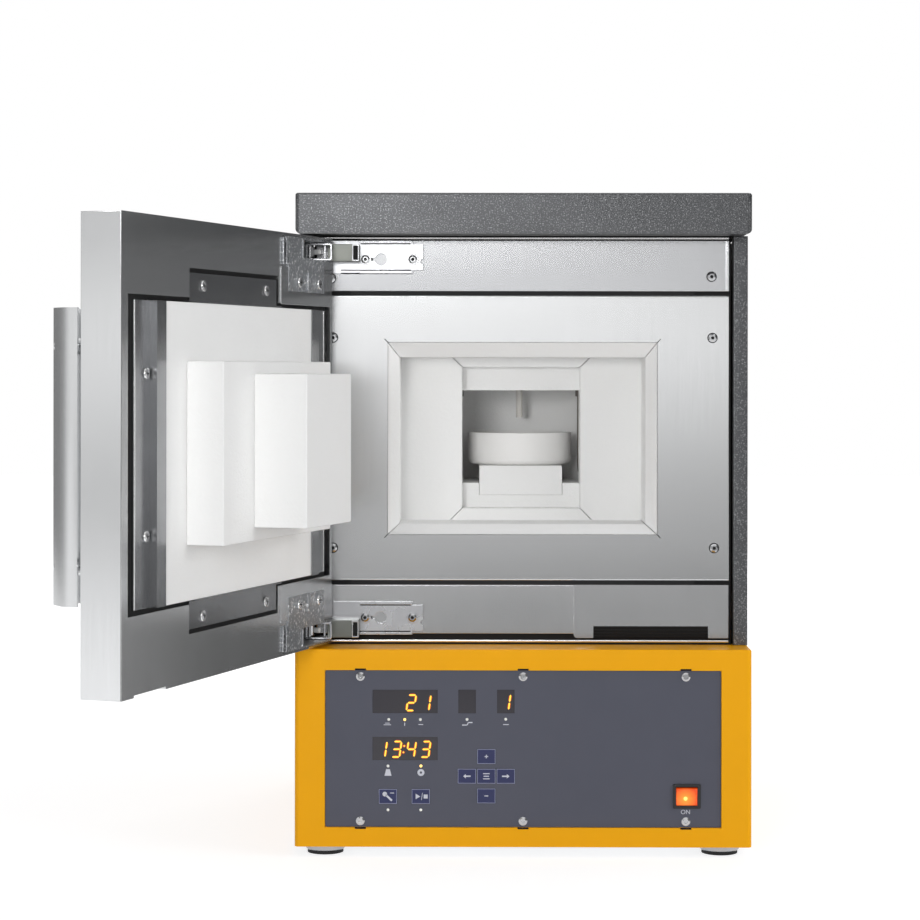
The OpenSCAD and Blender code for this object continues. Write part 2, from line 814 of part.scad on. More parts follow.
// Front of the casing
frame_half = front_half + 1.5;
module front_frame() {
    color(steel) difference() {
        union() {
            block(-frame_half, frame_half, front_back_y, frame_back_y, base_top, casing_top);
            // Folds that show as bright strips under the lid and over the base
            block(-frame_half, frame_half, casing_back + 1, front_back_y + eps, casing_top - 1.2, casing_top);
            block(-front_half + 3, frame_half, casing_back + 4.6, front_back_y + eps, base_top, base_top + 4);
        }
        block(-box_half, box_half, front_back_y - 1, frame_back_y + 1, box_low, box_top);
        front_screw_cuts();
    }
}

front_screw_places = [[front_half - 15.4, rail_low + 12.8], [-front_half + 12.9, rail_low + 11],
    [front_half - 14.5, mouth_z + 89.6], [front_half - 13, mouth_z - 92.9],
    [-front_half + 14.7, mouth_z + 89.6], [-front_half + 14.7, mouth_z - 93.1]];
module front_screw_cuts() {
    for (p = front_screw_places) screw_hole(p[0], front_y, p[1], t = 3 * sheet);
    for (i = [0, 1], x = hinge_screw_xs)
        screw_hole(x, front_y, hinge_plate_zs[i] + hinge_screw_drop[i], t = 3 * sheet);
}

module hinge_rail() {
    color(steel) difference() {
        union() {
            block(-front_half, front_half, front_y, front_back_y, rail_low, rail_top);
            // Its right end is folded forward into a bright edge
            block(front_half - 3.6, front_half, front_y - 1, front_y + eps, rail_low, rail_top);
        }
        front_screw_cuts();
    }
}

module front_plate() {
    color(steel) difference() {
        block(-front_half, front_half, front_y, front_back_y, plate_low, plate_top);
        block(-plate_hole_half, plate_hole_half, front_y - 1, front_back_y + 1,
            plate_hole_low, plate_hole_top);
        // Relief slits at the corners of the hole
        for (s = [-1, 1]) {
            slit(s * plate_hole_half, plate_hole_top, s, 1);
            slit(s * plate_hole_half, plate_hole_low, s, -1);
        }
        front_screw_cuts();
    }
}

module slit(x, z, sx, sz) {
    translate([x, at(front_y - 1), z]) rotate([0, sx * sz * -45, 0])
        translate([sx > 0 ? -1 : -4, 0, -0.35]) cube([5, sheet + 2, 0.7]);
}

module sill_rail() {
    color(steel) difference() {
        block(-front_half, front_half, front_y, front_back_y, sill_low, sill_top());
        front_screw_cuts();
    }
}

module magnet_cover() {
    color(steel) difference() {
        block(cover_left, cover_right, cover_y, front_y, cover_low, cover_top);
        block(cover_left + sheet, cover_right - sheet, cover_y + sheet, front_y + 1,
            cover_low - 1, cover_top - sheet);
        // Slot over the magnet, open below
        block(magnet_left - 0.3, magnet_right + 0.3, cover_y - 1, front_y, cover_low - 1, magnet_top + 0.3);
        facing(cover_left, front_y + 1, cover_low, front_y - cover_y + 2) corner_cut(0, 0, 1, 1, 3);
    }
}

// A laminated core: thin plates on a back yoke, held by a foot under the cover
module door_magnet() {
    color(black) {
        yoke_y = cover_y + 1.4;
        block(magnet_left, magnet_right, yoke_y, front_y, cover_low + 0.4, magnet_top);
        for (i = [0 : 3]) {
            low = cover_low + 0.6 + i * 2.5;
            block(magnet_left, magnet_right, cover_y + 0.5, yoke_y + eps, low, low + 1.5);
        }
    }
}

module front_screws() {
    color(steel) {
        for (p = front_screw_places) screw(p[0], front_y, p[1], shank = 7);
        for (i = [0, 1], x = hinge_screw_xs)
            screw(x, front_y - plate_t, hinge_plate_zs[i] + hinge_screw_drop[i], shank = plate_t + 2 * sheet);
    }
}

// Chamber
module inner_box() {
    color(zinc) difference() {
        union() {
            block(-box_half, box_half, front_back_y + 0.2, box_back_y, box_low, box_top);
            block(-box_half - 12, box_half + 12, frame_back_y, frame_back_y + box_sheet,
                box_low - 12, box_top + 12);
            // Hangers to the floor of the casing
            for (x = [-box_half, box_half - 20], d = [frame_back_y + 30, box_back_y - 40])
                block(x, x + 20, d, d + box_sheet, base_top, box_low + eps);
        }
        block(-box_half + box_sheet, box_half - box_sheet, front_y - 5, box_back_y - box_sheet,
            box_low + box_sheet, box_top - box_sheet);
        roof_holes(box_top - 5, 12, 3);
    }
}

// Holes for the element legs and the thermocouple through what lies over the chamber
module roof_holes(low, height, extra) {
    for (s = [-1, 1], d = [-element_half, element_half])
        translate([s * element_x, at(chamber_y + d), low]) cylinder(h = height, d = shank_d + extra);
    translate([0, at(probe_y), low]) cylinder(h = height, d = probe_d + extra);
}

// Four mitred boards round a rectangular hole, cut apart along lines through the hole's corners
module mitre_cut(half, low, high, run_side, run_low, run_high, d0, d1) {
    for (s = [-1, 1]) {
        corner_line(s * half, high, s * run_side, run_high, d0, d1);
        corner_line(s * half, low, s * run_side, -run_low, d0, d1);
    }
}

module corner_line(x, z, dx, dz, d0, d1) {
    far = 5;
    nx = -dz / norm([dx, dz]) * mitre_gap / 2;
    nz = dx / norm([dx, dz]) * mitre_gap / 2;
    translate([0, at(d1), 0]) rotate([90, 0, 0]) linear_extrude(d1 - d0) polygon([
        [x - dx * 0.3 + nx, z - dz * 0.3 + nz], [x + dx * far + nx, z + dz * far + nz],
        [x + dx * far - nx, z + dz * far - nz], [x - dx * 0.3 - nx, z - dz * 0.3 - nz]]);
}

module mouth_boards() {
    nose_y = front_y + 0.3;
    back_y = throat_y - board_fit;
    bevel_d = 10;
    color(fibre) difference() {
        union() {
            block(-plate_hole_half + board_fit, plate_hole_half - board_fit, nose_y, frame_back_y + 2,
                plate_hole_low + board_fit, plate_hole_top - board_fit);
            block(-board_half, board_half, frame_back_y + board_fit, back_y, board_low, board_top);
        }
        block(-mouth_half, mouth_half, front_y - 1, throat_y + 1, mouth_low, mouth_top);
        bevel_cut(nose_y, bevel_d);
        mitre_cut(mouth_half, mouth_low, mouth_top, bevel_side, bevel_low, bevel_top,
            nose_y - 1, throat_y + 1);
    }
}

// Bevel all round the front of the opening: what its plan and its side view have in common
module bevel_cut(y0, d) {
    side = bevel_side - board_fit;
    top = bevel_top - board_fit;
    low = bevel_low - board_fit;
    front = at(y0 - 1);
    back = at(y0 + d);
    // The slopes run on for a millimetre in front of the boards
    on = 1 + 1 / d;
    intersection() {
        translate([0, 0, plate_hole_low - 1]) linear_extrude(plate_hole_top - plate_hole_low + 2) polygon([
            [-mouth_half - side * on, front], [mouth_half + side * on, front],
            [mouth_half, back], [-mouth_half, back]]);
        side_run() polygon([[front, mouth_low - low * on], [front, mouth_top + top * on],
            [back, mouth_top], [back, mouth_low]]);
    }
}

// A side view drawn out along the whole width of the opening
module side_run() {
    translate([-plate_hole_half - 1, 0, 0]) rotate([90, 0, 90])
        linear_extrude(2 * plate_hole_half + 2) children();
}

// The throat's mitres run up as far as they run out
throat_mitre = 30;
module throat_boards() {
    color(fibre) difference() {
        block(-board_half, board_half, throat_y, throat_back_y, board_low, board_top);
        block(-throat_half, throat_half, throat_y - 1, throat_back_y + 1, throat_low, throat_top);
        mitre_cut(throat_half, throat_low, throat_top, throat_mitre, throat_mitre, throat_mitre,
            throat_y - 1, throat_back_y + 1);
    }
}

module chamber_floor() {
    color(fibre) difference() {
        block(-board_half, board_half, throat_back_y, board_back_y, board_low, chamber_low);
        block(-pedestal_w / 2 - 0.3, pedestal_w / 2 + 0.3, throat_back_y - 1, pedestal_back_y + 0.3,
            pedestal_low, chamber_low + 1);
    }
}

module chamber_wall() {
    color(fibre) difference() {
        block(-board_half, board_half, throat_back_y, board_back_y, chamber_low, chamber_top);
        translate([0, at(chamber_y), chamber_low - 1]) cylinder(h = chamber_top, d = chamber_d, $fn = 96);
        block(-throat_half, throat_half, throat_back_y - 1, chamber_y, chamber_low - 1, chamber_top + 1);
    }
}

module chamber_roof() {
    color(fibre) difference() {
        block(-board_half, board_half, throat_back_y, board_back_y, chamber_top, board_top);
        roof_holes(chamber_top - 1, board_top, 1);
    }
}

module pedestal() {
    color(fibre) block(-pedestal_w / 2, pedestal_w / 2, throat_back_y + 0.5, pedestal_back_y,
        pedestal_low, bowl_z);
}

module sintering_bowl() {
    r = bowl_d / 2;
    w = bowl_wall;
    f = 5;
    color([0.97, 0.96, 0.94]) translate([0, at(chamber_y), bowl_z + 0.1]) difference() {
        rotate_extrude($fn = 96) difference() {
            union() {
                square([r - f, bowl_h]);
                translate([0, f]) square([r, bowl_h - f]);
                translate([r - f, f]) circle(f, $fn = 32);
            }
            translate([0, w]) square([r - w, bowl_h]);
            translate([-2 * r, -r]) square([2 * r, 4 * r]);
        }
        // Notches in the rim at the left and the right, where gas passes under a cover
        translate([-r - 1, -4, bowl_h - 2.5]) cube([2 * r + 2, 8, 3]);
    }
}

element_top = box_top + 20;
shank_low = chamber_top - 6;
bend_z = element_low + element_half;
module heating_elements() {
    color([0.35, 0.33, 0.32]) for (s = [-1, 1]) translate([s * element_x, at(chamber_y), 0]) {
        for (d = [-element_half, element_half]) translate([0, d, 0]) {
            cylinder_at(bend_z, element_d, shank_low - bend_z);
            cylinder_at(shank_low, shank_d, element_top - shank_low);
        }
        translate([0, 0, bend_z]) rotate([0, 90, 0]) rotate([0, 0, 90]) rotate_extrude(angle = -180)
            translate([element_half, 0]) circle(d = element_d, $fn = 24);
    }
}

// Ceramic collar on the box, and a clamp round the end of each leg
module element_terminals() {
    collar_h = 6;
    clamp_h = 10;
    for (s = [-1, 1], d = [-element_half, element_half])
        translate([s * element_x, at(chamber_y + d), 0]) {
            color([0.9, 0.88, 0.82]) difference() {
                cylinder_at(box_top, 20, collar_h);
                cylinder_at(box_top - 1, shank_d + 0.2, collar_h + 2);
            }
            color(steel) difference() {
                translate([-8, -6, element_top - clamp_h - 2]) cube([16, 12, clamp_h]);
                cylinder_at(element_top - clamp_h - 3, shank_d + 0.1, clamp_h + 2);
            }
        }
}

probe_collar_d = 22;
probe_collar_h = 5;
probe_head = [28, 20, 12];
module thermocouple() {
    tip = chamber_top - probe_reach;
    color([0.93, 0.88, 0.8]) translate([0, at(probe_y), 0]) {
        difference() {
            cylinder_at(tip, probe_d, box_top + probe_collar_h + 3 - tip);
            cylinder_at(tip - 1, probe_d - 3, 4);
        }
        cylinder_at(box_top, probe_collar_d, probe_collar_h);
        translate([-probe_head[0] / 2, -probe_head[1] / 2, box_top + probe_collar_h]) cube(probe_head);
    }
}

shaft_d = 4;
rotor_low = 4.5;
rotor_h = 17;
shaft_top = rotor_low + 13.5;
module cooling_fan() {
    color(black) translate([0, at(fan_y), fan_z]) rotate([-90, 0, 0]) {
        difference() {
            translate([-fan_size / 2, -fan_size / 2, 0]) cube([fan_size, fan_size, fan_t]);
            translate([0, 0, -1]) cylinder(h = fan_t + 2, d = fan_bore, $fn = 64);
            for (x = [-fan_hole, fan_hole], y = [-fan_hole, fan_hole]) translate([x, y, fan_t - 8])
                cylinder(h = 10, d = screw_shank_d + 0.2, $fn = 24);
        }
        // Motor carried on three spokes, with the shaft that the rotor turns on
        cylinder(h = 4, d = hub_d);
        for (a = [90, 210, 330]) rotate([0, 0, a])
            translate([0, -2, 0]) cube([fan_bore / 2 + 1, 4, 3]);
        cylinder(h = shaft_top, d = shaft_d);
    }
}

// Six pitched blades on a hub that runs on the fan's shaft
module fan_rotor() {
    low = rotor_low;
    tall = rotor_h;
    pitch = 38;
    blade_t = 1.6;
    color([0.15, 0.15, 0.16]) translate([0, at(fan_y), fan_z]) rotate([-90, 0, 0]) difference() {
        union() {
            cylinder_at(low, hub_d, tall);
            intersection() {
                for (a = [0 : 60 : 300]) rotate([0, 0, a])
                    translate([hub_d / 2 - 2, 0, low + tall / 2]) rotate([pitch, 0, 0])
                        translate([0, -13, -blade_t / 2]) cube([30, 26, blade_t]);
                translate([0, 0, low]) cylinder(h = tall, d = fan_bore - 3, $fn = 64);
            }
        }
        cylinder_at(low - 0.5, shaft_d + 0.1, shaft_top - low + 1.1);
    }
}

// Hinges: a plate and an arm on the casing, a pin, and a cup in the door
module hinge_plates() {
    face_y = front_y - plate_t;
    rib = 1.2;
    color(zinc) for (i = [0, 1]) {
        z = hinge_plate_zs[i];
        screw_z = z + hinge_screw_drop[i];
        difference() {
            union() {
                block(plate_left, plate_right, face_y, front_y, z - plate_half_h, z + plate_half_h);
                // Raised edges along its top and bottom
                for (mid = [z - plate_half_h + rib, z + plate_half_h - rib])
                    block(arm_right, plate_right - 9.7, face_y - 0.8, face_y + eps, mid - rib, mid + rib);
            }
            // Keyhole beside the first screw
            facing(hinge_screw_xs[0] + 13.6, front_y + 1, screw_z, 6) circle(5.1);
            block(hinge_screw_xs[0], hinge_screw_xs[0] + 13, front_y - 5, front_y + 1,
                screw_z - rib, screw_z + rib);
            for (x = hinge_screw_xs) screw_hole(x, face_y, screw_z, t = plate_t);
            // The far end is notched at its corners and once between them
            for (mid = [z - plate_half_h + 1.5, z + plate_half_h - 1.5])
                block(plate_right - 9, plate_right + 1, front_y - 5, front_y + 1, mid - 1.6, mid + 1.6);
            facing(plate_right, front_y + 1, z - 4, 6) circle(2.4);
        }
    }
}

// Plan of an arm's side cheek: an eye at the pin, widening back to the plate
module cheek_plan() {
    difference() {
        union() {
            translate([pin_x, at(pin_y)]) circle(eye_r);
            polygon([[pin_x - 1.5, at(pin_y + eye_r - 0.3)], [pin_x + 1, at(pin_y - eye_r + 0.1)],
                [arm_left, at(arm_face_y - 6)], [arm_left, at(arm_face_y)], [arm_right, at(arm_face_y)],
                [arm_right, at(front_y - plate_t)], [arm_left + 4, at(front_y - plate_t)]]);
        }
        translate([pin_x, at(pin_y)]) circle(d = hinge_pin_d + 2 * pin_play);
    }
}

module hinge_arms() {
    half = arm_h / 2;
    color(zinc) for (z = hinge_zs) {
        for (low = [z - half, z + half - hinge_sheet])
            translate([0, 0, low]) linear_extrude(hinge_sheet) cheek_plan();
        block(arm_left, arm_right, arm_face_y, arm_face_y + hinge_sheet, z - half, z + half);
        block(arm_right - hinge_sheet, arm_right, arm_face_y, front_y - plate_t, z - half, z + half);
    }
}

module hinge_cups() {
    color(zinc) on_door() for (i = [0, 1]) {
        z = hinge_zs[i];
        way = hinge_ways[i];
        wing_root = z + way * (cup_half - hinge_sheet);
        wing_end = z + way * (cup_half + wing_gap + wing_h);
        difference() {
            block(cup_left, cup_right, cup_floor_y, door_inner_y, z - cup_half, z + cup_half);
            block(cup_left - 1, cup_right - hinge_sheet, cup_floor_y + hinge_sheet, door_inner_y + 1,
                z - cup_half + hinge_sheet, z + cup_half - hinge_sheet);
            translate([pin_x, at(pin_y), z - cup_half - 1]) cylinder(h = 2 * cup_half + 2, d = hinge_pin_d);
        }
        // Wing that is screwed to the door's flange
        difference() {
            block(across(wing_s1), across(wing_s0), door_inner_y, door_inner_y + hinge_sheet,
                min(wing_root, wing_end), max(wing_root, wing_end));
            for (s = wing_screw_ss) screw_hole(across(s), door_inner_y, wing_z(i), t = hinge_sheet);
        }
    }
}

wing_screw_ss = [body_w - 75.6, body_w - 34.2];
function wing_z(i) = hinge_zs[i] + hinge_ways[i] * (cup_half + wing_gap + 7);

// The pin is pressed into the cup and turns in the arm's eyes, with the closing cam between the cheeks
module hinge_pins() {
    color(steel) on_door() for (z = hinge_zs) translate([pin_x, at(pin_y), 0]) {
        translate([0, 0, z - cup_half]) cylinder(h = 2 * cup_half, d = hinge_pin_d);
        translate([0, 0, z - 4]) cylinder(h = 8, d = 8.6);
    }
}

// Door
module hinge_cut(i) {
    z = hinge_zs[i];
    // Pocket in the inner flange, open to the hinge edge for the arm
    block(-half_w - 1, across(cut_left), door_inner_y - sheet - 1, door_inner_y + 1,
        max(z - cup_half - 0.2, door_low + sheet), min(z + cup_half + 0.2, door_top - sheet));
    block(-half_w - 1, -half_w + sheet + 1, pin_y - eye_r - 0.5, door_inner_y + 1,
        z - arm_h / 2 - 0.6, z + arm_h / 2 + 0.6);
}

bracket_s0 = 109.7;
bracket_s1 = body_w - 115.5;
bracket_notch = 22.2;
module door_shell() {
    color(steel) on_door() difference() {
        block(-half_w, half_w, door_inner_y - door_t, door_inner_y, door_low, door_top);
        block(-half_w + sheet, half_w - sheet, door_inner_y - door_t + sheet, door_inner_y - sheet,
            door_low + sheet, door_top - sheet);
        // Opening in the inner flange for the slab, with a notch above and below
        block(across(body_w - flange_hinge), across(flange_free), door_inner_y - sheet - 1, door_inner_y + 1,
            door_low + flange_h, door_top - flange_h);
        block(across(bracket_s1), across(bracket_s0), door_inner_y - sheet - 1, door_inner_y + 1,
            door_low + flange_h - bracket_notch, door_top - flange_h + bracket_notch);
        // Relief in the bottom edge under the free corner
        block(across(71), across(20), door_inner_y - 6, door_inner_y + 1,
            door_low - 1, door_low + sheet + 1.2);
        hinge_cut(0);
        hinge_cut(1);
        for (i = [0, 1], s = wing_screw_ss) door_screw_hole(s, wing_z(i));
        for (z = handle_post_zs)
            facing(handle_post_x, door_inner_y - door_t + sheet + 1, z, sheet + 2)
                circle(d = post_bolt_d + 0.2);
    }
}

// Flat frame welded behind the inner flange, which the retainers and the brackets are screwed to
frame_s0 = flange_free + 2.7;
frame_s1 = body_w - 14;
frame_edge = 36;
module door_frame() {
    back = door_inner_y - 2 * sheet;
    hole_w = slab_w / 2 + 1;
    hole_h = slab_h / 2 + 1;
    color(zinc) on_door() difference() {
        block(across(frame_s1), across(frame_s0), back, door_inner_y - sheet,
            door_low + frame_edge, door_top - frame_edge);
        block(-hole_w, hole_w, back - 1, door_inner_y, door_mid - hole_h, door_mid + hole_h);
        for (s = bracket_screw_ss, z = bracket_screw_zs) door_screw_hole(s, z);
        for (s = retainer_screw_ss, z = retainer_screw_zs) door_screw_hole(s, z);
        for (i = [0, 1], s = wing_screw_ss) door_screw_hole(s, wing_z(i));
    }
}

// The flat of each retainer takes a share of the border between the slab and the door's edge
retainer_flat = (half_w - slab_w / 2) * 0.578;
retainer_screw_s = half_w - slab_w / 2 - retainer_flat * 0.273;
retainer_screw_ss = [retainer_screw_s, body_w - retainer_screw_s];
retainer_screw_zs = [door_mid - 59.5, door_mid + 58.3];
bracket_screw_ss = [bracket_s0 + 23.1, bracket_s1 - 24.7];
bracket_screw_zs = [door_low + 48, door_top - 49.3];

// Stepped strips that hold the slab's two upright edges
module slab_retainers() {
    lip_t = 1;
    lip_w = 14;
    edge = slab_w / 2;
    back = at(door_inner_y - sheet);
    face = at(door_inner_y);
    lip_y = at(door_inner_y + slab_proud);
    color(steel) on_door() difference() {
        for (m = [0, 1]) mirror([m, 0, 0]) translate([0, 0, door_mid - slab_h / 2])
            linear_extrude(slab_h) polygon([
                [edge + retainer_flat, back], [edge + retainer_flat, face], [edge + lip_t, face],
                [edge + lip_t, lip_y + lip_t], [edge - lip_w, lip_y + lip_t], [edge - lip_w, lip_y],
                [edge + 0.1, lip_y], [edge + 0.1, back]]);
        for (s = retainer_screw_ss, z = retainer_screw_zs) door_screw_hole(s, z);
    }
}

// Bent tabs above and below the slab, in the notches of the flange
module slab_brackets() {
    // Dark gap that the photograph shows round each tab
    gap = 3.5;
    left = across(bracket_s1 - gap);
    right = across(bracket_s0 + 0.3);
    reach = flange_h - bracket_notch + gap;
    color(steel) on_door() difference() {
        for (m = [-1, 1]) {
            edge = door_mid + m * (slab_h / 2 + 0.2);
            lip = edge + m * 1.2;
            tip = m > 0 ? door_top - reach : door_low + reach;
            block(left, right, door_inner_y - sheet, door_inner_y, min(edge, tip), max(edge, tip));
            // Lip turned along the slab's edge
            block(left, right, door_inner_y - sheet, door_inner_y + slab_proud - 0.4,
                min(edge, lip), max(edge, lip));
        }
        for (s = bracket_screw_ss, z = bracket_screw_zs) door_screw_hole(s, z);
    }
}

module door_screws() {
    color(steel) on_door() {
        for (s = retainer_screw_ss, z = retainer_screw_zs) door_screw(s, 0, z);
        for (s = bracket_screw_ss, z = bracket_screw_zs) door_screw(s, 0, z);
        for (i = [0, 1], s = wing_screw_ss)
            door_screw(s, hinge_sheet, wing_z(i), shank = hinge_sheet + 2.6);
    }
}

module door_slab() {
    color(fibre) on_door() block(-slab_w / 2, slab_w / 2, door_inner_y + slab_proud - slab_t,
        door_inner_y + slab_proud - 0.05, door_mid - slab_h / 2, door_mid + slab_h / 2);
}

module plug_step() {
    step_z = mouth_z - 0.5;
    color(fibre) on_door() block(-step_w / 2 - step_shift, step_w / 2 - step_shift,
        door_inner_y + slab_proud, door_inner_y + step_reach, step_z - step_h / 2, step_z + step_h / 2);
}

module plug_nose() {
    color(fibre) on_door() block(-nose_w / 2 + nose_shift, nose_w / 2 + nose_shift,
        door_inner_y + step_reach, door_inner_y + nose_reach, mouth_z - nose_h / 2, mouth_z + nose_h / 2);
}

// Handle: a bar folded from sheet, open towards the door, on two posts
handle_drop = 2.4;
handle_mid = door_mid - handle_drop;
handle_slope = 10;
handle_lean = atan2(handle_slope, handle_t - handle_side);
handle_post_x = across(handle_in + handle_w / 2);
handle_post_zs = [handle_mid - handle_h / 2 + post_in, handle_mid + handle_h / 2 - post_in];
post_d = 13;
post_bolt_d = 5;
// Section of the bar, its open side on the axis, drawn in by a wall's thickness
module handle_section(wall) {
    half = handle_w / 2 - wall;
    top_half = handle_w / 2 - handle_slope - wall * tan(45 - handle_lean / 2);
    side = handle_side - wall * tan(handle_lean / 2);
    polygon([[-half, -wall], [half, -wall], [half, side], [top_half, handle_t - wall],
        [-top_half, handle_t - wall], [-half, side]]);
}

module door_handle() {
    face = door_inner_y - door_t;
    color(steel) on_door() {
        translate([handle_post_x, at(face - handle_gap), handle_mid - handle_h / 2]) mirror([0, 1, 0])
            linear_extrude(handle_h) difference() {
                handle_section(0);
                handle_section(handle_wall);
            }
        for (z = handle_post_zs) {
            facing(handle_post_x, face, z, handle_gap + handle_t - handle_wall / 2) circle(d = post_d);
            facing(handle_post_x, face + sheet + 6, z, handle_gap + sheet + 7) circle(d = post_bolt_d);
        }
    }
}

module armature_plate() {
    color(black) on_door() block(magnet_left, magnet_right, door_inner_y - sheet - 3,
        door_inner_y - sheet, door_low + sheet + 1.5, magnet_top + 8);
}

base_housing();
base_floor();
foot_cups();
foot_pads();
control_panel();
panel_screws();
display_lenses();
indicator_leds();
control_board();
switch_bezel();
power_rocker();
key_program();
key_left();
key_right();
key_plus();
key_minus();
key_setup();
key_start_stop();
transformer();
power_controller();
mains_inlet();
left_side_panel();
right_side_panel();
rear_panel();
lid();
cover_screws();
front_frame();
hinge_rail();
front_plate();
sill_rail();
magnet_cover();
door_magnet();
front_screws();
inner_box();
mouth_boards();
throat_boards();
chamber_floor();
chamber_wall();
chamber_roof();
pedestal();
sintering_bowl();
heating_elements();
element_terminals();
thermocouple();
cooling_fan();
fan_rotor();
hinge_plates();
hinge_arms();
hinge_cups();
hinge_pins();
door_shell();
door_frame();
slab_retainers();
slab_brackets();
door_screws();
door_slab();
plug_step();
plug_nose();
door_handle();
armature_plate();
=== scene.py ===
# %% [markdown]
# # A tabletop sintering furnace
#
# This notebook dresses a small laboratory furnace: an orange base with a keypad, a grey casing and lid,
# brushed steel sheets round a white fibre opening, and a steel door that stands open on two concealed
# hinges. The solids come from a CAD model that fixes every size. Blender adds the rounded folds, the
# printed foil, the lit digits, the bright hinge work and the finishes.
#
# The CAD model is loaded first.

# %% Load the fixed frame
import json
import math

import bmesh
import bpy
from mathutils import Matrix, Vector


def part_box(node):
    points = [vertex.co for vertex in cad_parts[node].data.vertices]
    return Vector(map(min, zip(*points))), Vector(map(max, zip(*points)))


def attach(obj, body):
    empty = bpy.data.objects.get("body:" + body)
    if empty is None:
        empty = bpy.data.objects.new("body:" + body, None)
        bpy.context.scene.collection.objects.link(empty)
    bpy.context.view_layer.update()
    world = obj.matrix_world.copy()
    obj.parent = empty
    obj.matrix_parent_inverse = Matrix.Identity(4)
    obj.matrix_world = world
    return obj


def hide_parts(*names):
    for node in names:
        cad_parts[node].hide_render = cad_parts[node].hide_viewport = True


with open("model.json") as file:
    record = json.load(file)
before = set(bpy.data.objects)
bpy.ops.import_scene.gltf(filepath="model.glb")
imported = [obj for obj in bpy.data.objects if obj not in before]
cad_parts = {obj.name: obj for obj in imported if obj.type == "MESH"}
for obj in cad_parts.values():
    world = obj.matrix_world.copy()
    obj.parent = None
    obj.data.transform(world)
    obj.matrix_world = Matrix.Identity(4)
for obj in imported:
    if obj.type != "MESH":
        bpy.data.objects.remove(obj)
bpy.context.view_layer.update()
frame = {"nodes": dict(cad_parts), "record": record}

# %% [markdown]
# ## Units and places
#
# The furnace was measured in millimetres, as distances to the right, back from its front plane, and up from
# the table. One helper turns such a place into metres. The door was measured closed, so a matrix swings
# what is modelled on the closed door out to where it stands.

# %% Places in millimetres
MM = 0.001
FRONT = -0.210
DOOR_OPEN = math.radians(109)


def at(x, depth, z):
    return Vector((x * MM, FRONT + depth * MM, z * MM))


PIN_X, PIN_DEPTH = -183.5, 16.3
PIN = at(PIN_X, PIN_DEPTH, 0)
SWING = Matrix.Translation(PIN) @ Matrix.Rotation(-DOOR_OPEN, 4, "Z") @ Matrix.Translation(-PIN)
# Turns what lies flat on the table so that it stands and faces the viewer
UPRIGHT = Matrix.Rotation(math.radians(90), 4, "X")
print("the hinge pins stand at", [round(v, 4) for v in PIN])

# %% [markdown]
# ## Camera
#
# A product shot is taken from far away with a long lens, which keeps upright edges upright. The camera
# stands at the height of the chamber and looks level, and a small downward shift frames the furnace instead
# of a tilt.

# %% Camera
LENS_MM, SENSOR_MM, SHIFT_DOWN = 92.97, 36, -0.0988
EYE = (-0.0401, -2.2357, 0.4165)
PAN, ROLL = 0.00692, 0.0011


def new_object(name, data):
    made = bpy.data.objects.new(name, data)
    bpy.context.scene.collection.objects.link(made)
    return made


camera_data = bpy.data.cameras.new("camera")
camera_data.lens = LENS_MM
camera_data.sensor_width = SENSOR_MM
camera_data.shift_y = SHIFT_DOWN
camera_data.clip_start, camera_data.clip_end = 0.05, 60
camera = new_object("camera", camera_data)
look = Matrix.Rotation(PAN, 4, "Z") @ UPRIGHT
camera.matrix_world = Matrix.Translation(EYE) @ look @ Matrix.Rotation(ROLL, 4, "Z")
bpy.context.scene.camera = camera
print("camera", [round(v, 3) for v in camera.location])

# %% [markdown]
# ## Helpers for shader trees
#
# A material is a small graph of nodes. Helpers keep the graphs short: one adds a node and joins or sets its
# sockets by name, and others mix colours, do sums, make noise or lead the result to the output. Another
# starts a node group with named sockets, which is how an effect that several finishes share is built once.

# %% Shader helpers
def add(tree, kind, sockets=None, **settings):
    node = tree.nodes.new(kind)
    for key, value in settings.items():
        setattr(node, key, value)
    for name, value in (sockets or {}).items():
        if isinstance(value, bpy.types.NodeSocket):
            tree.links.new(value, node.inputs[name])
        else:
            node.inputs[name].default_value = value
    return node


def mixed(tree, factor, first, second):
    # Sockets 6 and 7 of a Mix node are its two colours, and output 2 is the colour that it makes
    return add(tree, "ShaderNodeMix", {0: factor, 6: first, 7: second}, data_type="RGBA").outputs[2]


def calc(tree, operation, first, second):
    return add(tree, "ShaderNodeMath", {0: first, 1: second}, operation=operation).outputs[0]


def blended(tree, first, share, second):
    # A mean of two values, of which the first has the given share
    first_part = calc(tree, "MULTIPLY", first, share)
    return calc(tree, "ADD", first_part, calc(tree, "MULTIPLY", second, 1 - share))


def object_place(tree):
    return add(tree, "ShaderNodeTexCoord").outputs["Object"]


def stretch_by(tree, vector, factors):
    return add(tree, "ShaderNodeVectorMath", {0: vector, 1: factors}, operation="MULTIPLY").outputs[0]


def show(tree, shader, kind="ShaderNodeOutputMaterial"):
    # Leads a finished shader to the surface of its material or world
    tree.links.new(shader.outputs[0], add(tree, kind).inputs["Surface"])


def spread(tree, value, low, high, to_low, to_high):
    sockets = {"Value": value, "From Min": low, "From Max": high, "To Min": to_low, "To Max": to_high}
    return add(tree, "ShaderNodeMapRange", sockets).outputs[0]


def noise(tree, vector, scale, detail=2.0, rough=0.5):
    sockets = {"Vector": vector, "Scale": scale, "Detail": detail, "Roughness": rough}
    return add(tree, "ShaderNodeTexNoise", sockets).outputs[0]


def group(name, inputs, outputs):
    tree = bpy.data.node_groups.new(name, "ShaderNodeTree")
    for label, kind, value in inputs:
        socket = tree.interface.new_socket(name=label, in_out="INPUT", socket_type=kind)
        socket.default_value = value
    for label, kind in outputs:
        tree.interface.new_socket(name=label, in_out="OUTPUT", socket_type=kind)
    return tree, tree.nodes.new("NodeGroupInput").outputs, tree.nodes.new("NodeGroupOutput").inputs


